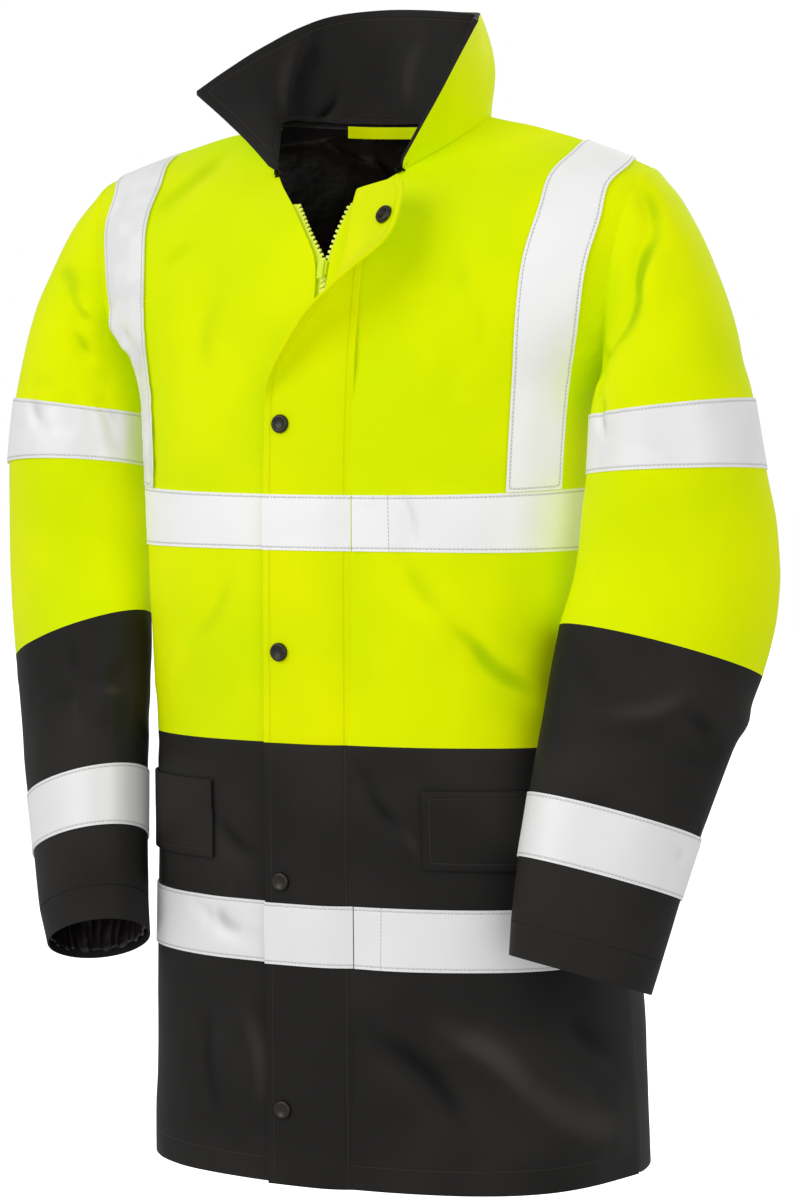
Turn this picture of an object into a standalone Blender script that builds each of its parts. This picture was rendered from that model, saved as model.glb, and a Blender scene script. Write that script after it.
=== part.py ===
# Hi-vis work jacket: a padded three-quarter coat, filled out as it is when worn.
# Metres, +Z up. The front faces -Y and the wearer's left is +X. The origin lies on the
# body's axis at the base of the neck, where the wearer's shoulders carry the coat.

import math

import bmesh
import bpy
import numpy as np
from mathutils import Matrix, Vector

# ---------------------------------------------------------------- driving sizes

COLLECTION = "work_jacket"

WALL = 0.0030             # padded cloth of the body and sleeves
LINING_WALL = 0.0008
SEAM = 0.0003             # gap between neighbouring pieces
ARMHOLE_GAP = 0.0009      # gap along the curved seams of the sleeves
SKIN = 0.0006             # gap under a piece that lies on the cloth

HEM = -0.866
SPLIT = -0.506            # colour seam round the body
ARMPIT = -0.225
ZIP_OPEN = -0.118         # foot of the opened V
NECK_FRONT = -0.070
NECK_BACK = -0.026
CHEST_TAPE = (-0.350, -0.301)
LOWER_TAPE = (-0.6855, -0.6355)
TAPE_WIDTH = 0.050
TAPE_WALL = 0.0008

FLAP_EDGE = 0.040         # storm flap: free edge, on the wearer's right of the zip
FLAP_SEAM = 0.037         # storm flap: sewn edge, on the wearer's left of the zip
FLAP_WALL = 0.0024
FLAP_GAP = 0.0009         # from the front to the flap at its seam, and to the pockets
FLAP_LIFT = 0.0042        # from the front to the flap where it covers the zip
FLAP_LIFT_X = 0.012       # from here on, towards its free edge
FLAP_TOP = -0.070
FLAP_CORNER = 0.016       # radius of its free corner at the top
FLAP_ROLL = 0.0050        # radius of the roll where it folds back
FLAP_ROLLED = 0.7         # largest share of its free part that lies in the roll

SNAP_RADIUS = 0.0076
SNAP_HEIGHT = 0.0030
SNAP_INSET = 0.0150       # from the flap's free edge
SNAP_LEVELS = (-0.240, -0.433, -0.618, -0.804)
SOCKET_LEVEL = -0.096
SOCKET_RADIUS = 0.0062
SOCKET_TUBE = 0.0017

POCKET_LEVELS = (-0.604, -0.572, -0.540)
POCKET_START = 0.096      # along the cloth from the centre front
POCKET_WIDTH = 0.165
POCKET_WALL = 0.0020

ZIP_TAPE_SHOWS = 0.0035   # past the edge of its front
ZIP_TAPE_SEWN = 0.0120    # behind the front
ZIP_FOOT = 0.0100         # the zip ends this far above the hem
SLIDER_SIZE = (0.0086, 0.0046, 0.0120)
SLIDER_STANDS = -0.0007   # its middle stands this far out from the front
SLIDER_BEVEL = 0.0012
PULL_SIZE = (0.0052, 0.0014, 0.0150)
PULL_BEVEL = 0.0005

CUFF_SETBACK = 0.0040     # from the cuff's end to its gathered lining
PLEAT_DEPTH = 0.0026
LOOP_REACH = 0.066        # hang loop: half its width across the neck
LOOP_WIDTH = 0.0100
LOOP_RISE = 0.0005        # of its top edge over the neck seam
LOOP_SAG = 0.0020
LOOP_WALL = 0.0012

HALF_CELLS = (5, 2, 3)    # mesh cells across half a body: to the tape, under it, beyond

RIGHT, LEFT = -1, 1
SIDE_NAMES = {RIGHT: "right", LEFT: "left"}

# ---------------------------------------------------------------- section tables

# One row for each section across half of the front, hem to shoulder, wearer's left.
# in: its end at the centre front or neckline. out: its end at the side seam or armhole.
# pulls: how far the section runs straight on from each end. in_drop: how steeply it
# falls at the inner end. heading: its plan direction at the outer end, 90 straight back.
SECTION_COLUMNS = ("level", "in_x", "in_y", "in_z", "out_x", "out_y", "out_z",
                   "in_pull", "out_pull", "in_drop", "heading", "drop")
FRONT_SECTIONS = (
    (HEM, 0.000, -0.161, HEM, 0.214, 0.004, HEM, 0.150, 0.115, 0, 90, 0),
    (-0.780, 0.000, -0.163, -0.780, 0.211, 0.000, -0.780, 0.150, 0.115, 0, 90, 0),
    (-0.640, 0.000, -0.165, -0.640, 0.204, -0.005, -0.640, 0.155, 0.110, 0, 90, 0),
    (-0.500, 0.000, -0.167, -0.500, 0.197, -0.015, -0.500, 0.165, 0.105, 0, 90, 0),
    (-0.360, 0.000, -0.168, -0.360, 0.196, -0.030, -0.360, 0.180, 0.100, 0, 90, 0),
    (ARMPIT, 0.000, -0.164, -0.235, 0.199, -0.042, ARMPIT, 0.190, 0.080, 0, 90, 0),
    (-0.175, 0.000, -0.157, -0.180, 0.222, -0.094, -0.182, 0.180, 0.050, 0, 60, 4),
    (ZIP_OPEN, 0.000, -0.145, ZIP_OPEN, 0.233, -0.106, -0.130, 0.160, 0.045, 0, 45, 14),
    (NECK_FRONT, 0.000, -0.124, NECK_FRONT, 0.240, -0.099, -0.088, 0.110, 0.050, 0, 30, 20),
    (-0.048, 0.043, -0.101, -0.048, 0.244, -0.088, -0.066, 0.080, 0.050, 2, 15, 24),
    (-0.024, 0.082, -0.073, -0.023, 0.246, -0.074, -0.052, 0.060, 0.050, 6, 5, 26),
    (0.000, 0.097, -0.040, 0.000, 0.247, -0.056, -0.046, 0.050, 0.045, 10, 0, 26),
)

# The same across half of the back.
BACK_SECTIONS = (
    (HEM, 0.000, 0.170, HEM, 0.214, 0.004, HEM, 0.120, 0.095, 0, -90, 0),
    (-0.780, 0.000, 0.166, -0.780, 0.211, 0.000, -0.780, 0.120, 0.095, 0, -90, 0),
    (-0.640, 0.000, 0.158, -0.640, 0.204, -0.005, -0.640, 0.120, 0.095, 0, -90, 0),
    (-0.500, 0.000, 0.146, -0.500, 0.197, -0.015, -0.500, 0.125, 0.090, 0, -90, 0),
    (-0.360, 0.000, 0.134, -0.360, 0.196, -0.030, -0.360, 0.130, 0.085, 0, -90, 0),
    (ARMPIT, 0.000, 0.123, ARMPIT, 0.199, -0.042, ARMPIT, 0.135, 0.080, 0, -90, 0),
    (-0.175, 0.000, 0.115, -0.175, 0.217, 0.004, -0.182, 0.135, 0.055, 0, -60, 4),
    (ZIP_OPEN, 0.000, 0.100, -0.118, 0.228, 0.014, -0.130, 0.125, 0.050, 0, -45, 14),
    (NECK_FRONT, 0.000, 0.078, -0.068, 0.237, 0.004, -0.088, 0.110, 0.050, 0, -30, 20),
    (-0.044, 0.000, 0.059, -0.032, 0.242, -0.012, -0.068, 0.095, 0.050, 2, -15, 24),
    (NECK_BACK, 0.000, 0.036, -0.003, 0.245, -0.026, -0.056, 0.080, 0.050, 5, -8, 26),
    (-0.016, 0.052, 0.024, -0.001, 0.246, -0.038, -0.050, 0.065, 0.050, 8, -4, 26),
    (-0.007, 0.085, -0.008, 0.000, 0.247, -0.048, -0.047, 0.050, 0.045, 10, -1, 26),
    (0.000, 0.097, -0.040, 0.000, 0.247, -0.056, -0.046, 0.050, 0.045, 10, 0, 26),
)

# From the inner end of each section, along the cloth: the edge of each front.
EDGE_COLUMNS = ("level", "right", "left")
FRONT_EDGES = (
    (HEM, 0.005, 0.005),
    (ZIP_OPEN, 0.005, 0.005),
    (NECK_FRONT, 0.040, 0.016),
    (-0.048, 0.024, 0.000),
    (-0.024, 0.000, 0.000),
    (0.000, 0.000, 0.000),
)

# And the inner edge of the shoulder tape.
TAPE_COLUMNS = ("level", "front", "back")
TAPE_LINES = (
    (HEM, 0.166, 0.150),
    (-0.360, 0.162, 0.150),
    (-0.175, 0.169, 0.150),
    (ZIP_OPEN, 0.172, 0.158),
    (NECK_FRONT, 0.180, 0.170),
    (-0.048, 0.132, 0.176),
    (-0.024, 0.106, 0.178),
    (-0.016, 0.101, 0.135),
    (-0.007, 0.095, 0.104),
    (0.000, 0.092, 0.092),
)

# Levels of the mesh rows: below the colour seam, from there to the armpit, and the
# armhole's rows in front and behind, which meet the sleeve's columns one to one.
LOWER_LEVELS = (HEM, -0.825, -0.780, -0.733, LOWER_TAPE[0], -0.6605, LOWER_TAPE[1],
                -0.604, -0.572, -0.540, SPLIT)
UPPER_LEVELS = (SPLIT, -0.468, -0.430, -0.391, CHEST_TAPE[0], -0.3255, CHEST_TAPE[1],
                -0.263, ARMPIT)
FRONT_TOP_LEVELS = (-0.200, -0.175, -0.147, ZIP_OPEN, -0.094, NECK_FRONT, -0.048,
                    -0.024, 0.000)
BACK_TOP_LEVELS = (-0.192, -0.160, -0.128, -0.096, -0.060, NECK_BACK, -0.016, -0.007,
                   0.000)

# One row for each ring round the wearer's sleeves: its centre, half widths, the plan
# angle of its wide axis, and how far the ring rises towards the body and towards the
# front for each unit of width. x is measured away from the body.
ARM_COLUMNS = ("level", "x", "y", "z", "wide", "deep", "turn", "rise_in", "rise_front")
ARM_SECTIONS = {
    LEFT: (
        (-0.235, 0.272, -0.070, -0.236, 0.066, 0.062, 30, -0.12, 0.02),
        (-0.285, 0.276, -0.070, -0.287, 0.072, 0.061, 30, -0.06, 0.06),
        (-0.355, 0.281, -0.071, -0.355, 0.084, 0.059, 30, 0.08, 0.18),
        (-0.430, 0.270, -0.087, -0.428, 0.082, 0.055, 30, 0.14, 0.29),
        (-0.500, 0.257, -0.103, -0.495, 0.075, 0.052, 32, 0.15, 0.29),
        (-0.556, 0.245, -0.119, -0.556, 0.069, 0.049, 34, 0.15, 0.29),
        (-0.607, 0.237, -0.129, -0.605, 0.065, 0.047, 35, 0.16, 0.28),
        (-0.655, 0.229, -0.137, -0.654, 0.061, 0.045, 36, 0.18, 0.26),
        (-0.683, 0.225, -0.140, -0.681, 0.058, 0.043, 36, 0.19, 0.25),
    ),
    RIGHT: (
        (-0.235, 0.270, -0.068, -0.237, 0.066, 0.062, 30, -0.10, 0.08),
        (-0.285, 0.276, -0.068, -0.288, 0.071, 0.061, 30, 0.00, 0.14),
        (-0.355, 0.277, -0.068, -0.360, 0.079, 0.059, 33, 0.20, 0.12),
        (-0.430, 0.266, -0.082, -0.432, 0.077, 0.056, 36, 0.34, 0.09),
        (-0.500, 0.256, -0.096, -0.500, 0.074, 0.052, 38, 0.32, 0.16),
        (-0.556, 0.246, -0.108, -0.556, 0.069, 0.049, 40, 0.29, 0.22),
        (-0.607, 0.239, -0.116, -0.606, 0.065, 0.047, 40, 0.27, 0.28),
        (-0.655, 0.232, -0.122, -0.656, 0.060, 0.045, 40, 0.26, 0.34),
        (-0.683, 0.226, -0.125, -0.684, 0.056, 0.043, 40, 0.25, 0.38),
    ),
}
ARM_TAPE_UPPER = (-0.235, -0.285)
ARM_TAPE_LOWER = (-0.556, -0.607)
ARM_SPLIT = -0.430
ARM_CUFF = -0.655
ARM_END = -0.683
HEAD_ROWS = 4             # rows in the sleeve head, from the armhole to the first ring
HEAD_SWELL = 0.48         # how far it stands out before it turns down
ARM_UPPER_LEVELS = (ARM_TAPE_UPPER[0], -0.260, ARM_TAPE_UPPER[1], -0.320, -0.357, -0.394,
                    ARM_SPLIT)
ARM_LOWER_LEVELS = (ARM_SPLIT, -0.461, -0.493, -0.525, ARM_TAPE_LOWER[0], -0.5815,
                    ARM_TAPE_LOWER[1], -0.631, ARM_CUFF)
ARM_CUFF_LEVELS = (ARM_CUFF, -0.669, ARM_END)

# Top edge of the collar, from the tip on the wearer's right to the tip on the left.
# share: part of the way along the neck seam. bow: outward swell halfway up.
COLLAR_START = -0.048     # level of the fronts where the neck seam begins
COLLAR_COLUMNS = ("share", "x", "y", "z", "bow")
COLLAR_SECTIONS = (
    (0.00, -0.160, -0.070, 0.024, -0.004),
    (0.12, -0.146, -0.042, 0.044, 0.000),
    (0.25, -0.122, -0.010, 0.070, 0.002),
    (0.36, -0.092, 0.018, 0.091, 0.004),
    (0.50, -0.030, 0.046, 0.099, 0.005),
    (0.62, 0.032, 0.040, 0.094, 0.005),
    (0.74, 0.061, 0.014, 0.090, 0.010),
    (0.87, 0.090, -0.044, 0.081, 0.012),
    (1.00, 0.117, -0.101, 0.071, 0.004),
)
COLLAR_CELLS = 24
COLLAR_RISES = 5
COLLAR_WALL = 0.0022

# The storm flap's opened top, turned back like a lapel. angle: how far its free part is
# turned at each level, in degrees. roll_x: where it begins to turn.
FLAP_COLUMNS = ("level", "angle", "roll_x")
FLAP_FOLDS = (
    (HEM, 0.0, -0.030),
    (-0.227, 0.0, -0.030),
    (-0.218, 25.0, -0.030),
    (-0.207, 78.0, -0.0265),
    (-0.197, 104.0, -0.021),
    (-0.183, 112.0, -0.012),
    (-0.168, 112.0, 0.000),
    (-0.155, 112.0, 0.011),
    (-0.136, 122.0, 0.025),
    (-0.123, 138.0, 0.029),
    (-0.1075, 150.0, 0.030),
    (-0.090, 152.0, 0.0295),
    (FLAP_TOP, 155.0, 0.029),
)
FLAP_LOWER_LEVELS = (HEM, -0.825, -0.780, -0.733, LOWER_TAPE[0], LOWER_TAPE[1], -0.604,
                     -0.572, -0.540, SPLIT)
FLAP_UPPER_LEVELS = (SPLIT, -0.468, -0.430, -0.391, CHEST_TAPE[0], CHEST_TAPE[1],
                     -0.270, -0.250, -0.238, -0.227, -0.217, -0.204, -0.190, -0.176,
                     -0.162, -0.149, -0.136, -0.124, -0.112, -0.100, -0.090, -0.082,
                     -0.075, -0.071, FLAP_TOP)
FLAP_LEVELS = FLAP_LOWER_LEVELS + FLAP_UPPER_LEVELS[1:]

# Soft folds. u runs along a section from its inner end, in metres, negative on the
# wearer's right of the back, and v is the level. A positive height stands out.
FOLD_COLUMNS = ("panel", "u0", "v0", "u1", "v1", "width", "height")
FOLDS = (
    ("front_left", 0.050, -0.530, 0.100, -0.588, 0.020, -0.0065),
    ("front_left", 0.070, -0.520, 0.120, -0.560, 0.018, 0.0030),
    ("front_left", 0.120, -0.400, 0.190, -0.480, 0.024, 0.0045),
    ("front_left", 0.090, -0.350, 0.150, -0.440, 0.026, -0.0035),
    ("front_left", 0.060, -0.700, 0.200, -0.790, 0.034, 0.0050),
    ("front_left", 0.110, -0.780, 0.260, -0.850, 0.032, -0.0045),
    ("front_right", 0.040, -0.450, 0.150, -0.390, 0.028, 0.0035),
    ("front_right", 0.050, -0.700, 0.180, -0.760, 0.032, -0.0045),
    ("back", -0.120, -0.300, -0.040, -0.480, 0.032, 0.0050),
    ("back", 0.120, -0.300, 0.050, -0.470, 0.032, 0.0045),
    ("back", 0.030, -0.560, 0.170, -0.640, 0.034, -0.0050),
    ("back", -0.160, -0.600, -0.020, -0.540, 0.034, -0.0045),
    ("back", -0.080, -0.720, -0.110, -0.866, 0.030, 0.0060),
    ("back", 0.090, -0.730, 0.130, -0.866, 0.030, 0.0060),
)

# Folds across the sleeves. share: part of the way round from the armpit by the front.
# tilt: rise of the fold for each full turn, metres. length: share of the ring it covers.
ARM_FOLD_COLUMNS = ("side", "share", "level", "tilt", "length", "width", "height")
ARM_FOLDS = (
    (LEFT, 0.27, -0.345, 0.12, 0.30, 0.018, -0.0065),
    (LEFT, 0.18, -0.390, -0.08, 0.26, 0.018, -0.0060),
    (LEFT, 0.62, -0.350, 0.04, 0.30, 0.022, -0.0045),
    (LEFT, 0.40, -0.490, 0.12, 0.30, 0.022, -0.0035),
    (RIGHT, 0.24, -0.345, 0.10, 0.30, 0.018, -0.0065),
    (RIGHT, 0.16, -0.395, -0.08, 0.26, 0.018, -0.0060),
    (RIGHT, 0.60, -0.350, -0.04, 0.30, 0.022, -0.0045),
    (RIGHT, 0.36, -0.490, 0.12, 0.30, 0.022, -0.0035),
)
FOLD_FADE = 0.035         # the folds of a panel die out this far from its seams

# ---------------------------------------------------------------- finishes

FINISHES = {
    "hi_vis_yellow": ((0.78, 0.95, 0.01, 1.0), 0.65, 0.0),
    "black_cloth": ((0.030, 0.027, 0.025, 1.0), 0.70, 0.0),
    "reflective_tape": ((0.80, 0.81, 0.82, 1.0), 0.35, 0.3),
    "black_lining": ((0.025, 0.018, 0.018, 1.0), 0.35, 0.0),
    "snap_metal": ((0.055, 0.050, 0.040, 1.0), 0.35, 0.8),
    "yellow_plastic": ((0.80, 0.92, 0.05, 1.0), 0.45, 0.0),
}

# ---------------------------------------------------------------- curves and tables


def smooth(xs, ys, x):
    """A smooth curve through the points (xs, ys), read at x, that never overshoots."""
    xs = np.asarray(xs, float)
    ys = np.asarray(ys, float)
    steps = np.diff(ys) / np.diff(xs)
    before, after = steps[:-1], steps[1:]
    slopes = np.concatenate([steps[:1], (before + after) / 2, steps[-1:]])
    limit = 3 * np.minimum(np.abs(before), np.abs(after))
    slopes[1:-1] = np.clip(slopes[1:-1], -limit, limit) * (before * after > 0)
    k = int(np.clip(np.searchsorted(xs, x) - 1, 0, len(xs) - 2))
    width = xs[k + 1] - xs[k]
    t = min(max((x - xs[k]) / width, 0.0), 1.0)
    return (ys[k] * (1 + 2 * t) * (1 - t) ** 2 + ys[k + 1] * t * t * (3 - 2 * t)
            + width * t * (1 - t) * (slopes[k] * (1 - t) - slopes[k + 1] * t))


def read(columns, table, key):
    """A table's row at any value of its first column."""
    keys = [row[0] for row in table]
    return {name: smooth(keys, [row[i] for row in table], key)
            for i, name in enumerate(columns)}


def read_straight(columns, table, key):
    """The same, with straight runs between the rows."""
    keys = [row[0] for row in table]
    return {name: float(np.interp(key, keys, [row[i] for row in table]))
            for i, name in enumerate(columns)}


def unit(v):
    return v / np.linalg.norm(v, axis=-1, keepdims=True)


def length_of(points):
    return reach_of(points)[-1]


def read_across(values, places, where):
    """Rows of values, given at places along a line, read elsewhere along it."""
    return np.stack([np.interp(where, places, values[:, i]) for i in range(3)], 1)


def reach_of(points):
    """The distance of each point of a run from its start."""
    return np.concatenate([[0], np.cumsum(np.linalg.norm(np.diff(points, axis=0), axis=1))])


def run_along(points, distances):
    """Points at the given distances along a run of points."""
    return read_across(points, reach_of(points), distances)


def section(table, side, level, samples=80):
    """One section across half of the body, from its inner to its outer end."""
    row = read(SECTION_COLUMNS, table, level)
    start = np.array([row["in_x"], row["in_y"], row["in_z"]])
    end = np.array([row["out_x"], row["out_y"], row["out_z"]])
    in_drop, drop, heading = (math.radians(row[k]) for k in ("in_drop", "drop", "heading"))
    leave = np.array([math.cos(in_drop), 0.0, -math.sin(in_drop)])
    arrive = np.array([math.cos(heading) * math.cos(drop),
                       math.sin(heading) * math.cos(drop), -math.sin(drop)])
    after_start = start + leave * row["in_pull"]
    before_end = end - arrive * row["out_pull"]
    t = np.linspace(0, 1, samples)[:, None]
    points = (start * (1 - t) ** 3 + after_start * 3 * t * (1 - t) ** 2
              + before_end * 3 * t * t * (1 - t) + end * t ** 3)
    return points * np.array([side, 1, 1])


# ---------------------------------------------------------------- folds


def fold_heights(panel, u, v, reach):
    """How far the folds of one panel move its cloth outward, at u and v. They die out
    towards its side seam and, on a front, towards the storm flap."""
    total = np.zeros(u.shape)
    for row in FOLDS:
        fold = dict(zip(FOLD_COLUMNS, row))
        if fold["panel"] != panel:
            continue
        du = fold["u1"] - fold["u0"]
        dv = fold["v1"] - fold["v0"]
        span = math.hypot(du, dv)
        along = ((u - fold["u0"]) * du + (v - fold["v0"]) * dv) / span
        across = ((u - fold["u0"]) * dv - (v - fold["v0"]) * du) / span
        past = np.maximum(np.maximum(-along, along - span), 0) / (1.5 * fold["width"])
        total += fold["height"] * np.exp(-(across / fold["width"]) ** 2 - past ** 2)
    fade = np.clip((reach - np.abs(u)) / FOLD_FADE, 0, 1)
    if panel != "back":
        fade = np.minimum(fade, np.clip((u - FLAP_EDGE) / FOLD_FADE, 0, 1))
    return total * fade * fade * (3 - 2 * fade)


def arm_fold_heights(side, share, level):
    """How far the folds across a sleeve move its cloth outward."""
    total = np.zeros(np.broadcast(share, level).shape)
    for row in ARM_FOLDS:
        fold = dict(zip(ARM_FOLD_COLUMNS, row))
        if fold["side"] != side:
            continue
        turn = (share - fold["share"] + 0.5) % 1.0 - 0.5
        across = level - fold["level"] - fold["tilt"] * turn
        total = total + fold["height"] * np.exp(
            -(across / fold["width"]) ** 2 - (2 * turn / fold["length"]) ** 2)
    return total


# ---------------------------------------------------------------- cloth surfaces


def outward(grid, flip, closed=False):
    """Outward directions at the points of a grid of rows."""
    if closed:
        ring = np.concatenate([grid[:, -1:], grid, grid[:, :1]], axis=1)
        across = np.gradient(ring, axis=1)[:, 1:-1]
    else:
        across = np.gradient(grid, axis=1)
    return unit(np.cross(across, np.gradient(grid, axis=0))) * flip


def columns_at(table, side, level, start):
    """Distances of the mesh columns along the section at a level."""
    total = length_of(section(table, side, level))
    name = "front" if table is FRONT_SECTIONS else "back"
    tape = read_straight(TAPE_COLUMNS, TAPE_LINES, level)[name]
    inner, under, beyond = HALF_CELLS
    first = np.linspace(start, tape, inner + 1)
    if name == "front":
        beside_flap = max(FLAP_SEAM + FLAP_GAP, start + SNAP_INSET)
        first[1:] = np.linspace(beside_flap, tape, inner)
    return np.concatenate([first,
                           np.linspace(tape, tape + TAPE_WIDTH, under + 1)[1:],
                           np.linspace(tape + TAPE_WIDTH, total, beyond + 1)[1:]])


def body_grid(table, side, levels, starts, distances=None):
    """Points on half of the body, with their outward directions: a row for each level."""
    if distances is None:
        distances = [columns_at(table, side, level, start)
                     for level, start in zip(levels, starts)]
    distances = np.array(distances)
    sections = [section(table, side, level) for level in levels]
    grid = np.array([run_along(s, d) for s, d in zip(sections, distances)])
    reach = np.array([length_of(s) for s in sections])[:, None]
    flip = side if table is FRONT_SECTIONS else -side
    panel = "front_" + SIDE_NAMES[side] if table is FRONT_SECTIONS else "back"
    u = distances if table is FRONT_SECTIONS else distances * side
    v = np.broadcast_to(np.array(levels)[:, None], u.shape)
    heights = fold_heights(panel, u, v, reach)
    grid = grid + outward(grid, flip) * heights[..., None]
    return grid, outward(grid, flip)


def front_body(side, levels, distances=None):
    edges = [read_straight(EDGE_COLUMNS, FRONT_EDGES, level)[SIDE_NAMES[side]]
             for level in levels]
    return body_grid(FRONT_SECTIONS, side, levels, edges, distances)


def back_body(side, levels, distances=None):
    return body_grid(BACK_SECTIONS, side, levels, [0.0] * len(levels), distances)


def arm_ring(side, level, shares):
    """Points round a sleeve, from the armpit side by the front."""
    row = read(ARM_COLUMNS, ARM_SECTIONS[side][::-1], level)
    turn = math.radians(row["turn"])
    angle = 2 * math.pi * shares - turn
    wide = row["wide"] * np.cos(angle)
    deep = row["deep"] * np.sin(angle)
    away = -wide * math.cos(turn) + deep * math.sin(turn)
    back = -wide * math.sin(turn) - deep * math.cos(turn)
    rise = -away * row["rise_in"] - back * row["rise_front"]
    return np.stack([side * (row["x"] + away), row["y"] + back, row["z"] + rise], 1)


def arm_head(side, armhole, head_rows):
    """Rows from the armhole to the first free ring of a sleeve."""
    count = len(armhole)
    even = np.arange(count) / count
    first = ARM_UPPER_LEVELS[0]
    ring = arm_ring(side, first, even)
    axis = arm_ring(side, first - 0.03, even) - ring
    centre = armhole.mean(axis=0)
    away = unit(unit(np.array([0.80 * side, -0.10, -0.55])) + 0.40 * unit(armhole - centre))
    gap = np.linalg.norm(ring - armhole, axis=1, keepdims=True)
    rows = []
    for i in range(head_rows):
        t = i / head_rows
        rows.append(armhole * (1 + 2 * t) * (1 - t) ** 2 + ring * t * t * (3 - 2 * t)
                    + t * (1 - t) * gap * (away * HEAD_SWELL * (1 - t) - unit(axis) * t))
    return np.array(rows)


def arm_grid(side, armhole):
    """All rows of a sleeve from the armhole to the cuff, folds included."""
    levels = np.array(ARM_UPPER_LEVELS + ARM_LOWER_LEVELS[1:] + ARM_CUFF_LEVELS[1:])
    even = np.arange(len(armhole)) / len(armhole)
    rings = np.array([arm_ring(side, level, even) for level in levels])
    heights = arm_fold_heights(side, even[None, :], levels[:, None])
    rings = rings + outward(rings, -side, closed=True) * heights[..., None]
    return np.concatenate([arm_head(side, armhole, HEAD_ROWS), rings])


# ---------------------------------------------------------------- solids


def finish_of(name):
    """The material of one finish, made once."""
    made = bpy.data.materials.get(name)
    if made:
        return made
    color, roughness, metallic = FINISHES[name]
    made = bpy.data.materials.new(name)
    made.use_nodes = True
    made.diffuse_color = color
    shader = made.node_tree.nodes["Principled BSDF"]
    shader.inputs["Base Color"].default_value = color
    shader.inputs["Roughness"].default_value = roughness
    shader.inputs["Metallic"].default_value = metallic
    return made


def add_object(name, mesh, finish, sharp=50):
    mesh.materials.append(finish_of(finish))
    mesh.shade_smooth()
    mesh.set_sharp_from_angle(angle=math.radians(sharp))
    made = bpy.data.objects.new(name, mesh)
    bpy.data.collections[COLLECTION].objects.link(made)
    return made


def opposite(face):
    """The same four corners facing the other way, split along the same diagonal."""
    return [face[0], face[3], face[2], face[1]]


def wall(name, finish, sheets, thickness):
    """A closed wall on one or more joined sheets of points, each with its outward
    directions, and whether its rows close into rings. The thickness goes inward."""
    places, points, outs, faces = {}, [], [], []
    for grid, out, ring in sheets:
        rows, columns = grid.shape[:2]
        numbers = np.empty((rows, columns), int)
        for i, j in np.ndindex(rows, columns):
            key = tuple(np.round(grid[i, j], 5))
            if key not in places:
                places[key] = len(points)
                points.append(grid[i, j])
                outs.append(np.zeros(3))
            numbers[i, j] = places[key]
            outs[places[key]] = outs[places[key]] + out[i, j]
        turned = (np.cross(grid[1:, 1:] - grid[:-1, :-1], grid[1:, :-1] - grid[:-1, 1:])
                  * out[1:, 1:]).sum() < 0
        for i, j in np.ndindex(rows - 1, columns if ring else columns - 1):
            k = (j + 1) % columns
            corners = [int(n) for n in (numbers[i, j], numbers[i, k],
                                        numbers[i + 1, k], numbers[i + 1, j])]
            faces.append(opposite(corners) if turned else corners)
    points = np.array(points)
    inner = points - unit(np.array(outs)) * thickness
    count = len(points)
    edges = {(face[i], face[(i + 1) % 4]) for face in faces for i in range(4)}
    rims = [[b, a, a + count, b + count] for a, b in sorted(edges) if (b, a) not in edges]
    lining = [opposite([n + count for n in face]) for face in faces]
    mesh = bpy.data.meshes.new(name)
    mesh.from_pydata(np.concatenate([points, inner]).tolist(), [], faces + lining + rims)
    return add_object(name, mesh, finish)


def trimmed(grid, first_row=0.0, last_row=0.0, first_column=0.0, last_column=0.0):
    """A grid whose edges are drawn back by the given amounts."""
    cut = grid.copy()
    cut[0] += unit(grid[1] - grid[0]) * first_row
    cut[-1] += unit(grid[-2] - grid[-1]) * last_row
    cut[:, 0] += unit(grid[:, 1] - grid[:, 0]) * first_column
    cut[:, -1] += unit(grid[:, -2] - grid[:, -1]) * last_column
    return cut


def moved(mesh, place):
    mesh.transform(place)
    return mesh


def frame_at(point, out):
    """A frame at a point, with its z axis along the outward direction."""
    turn = Vector(out).to_track_quat("Z", "Y").to_matrix().to_4x4()
    return Matrix.Translation(Vector(point)) @ turn


# ---------------------------------------------------------------- body


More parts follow.
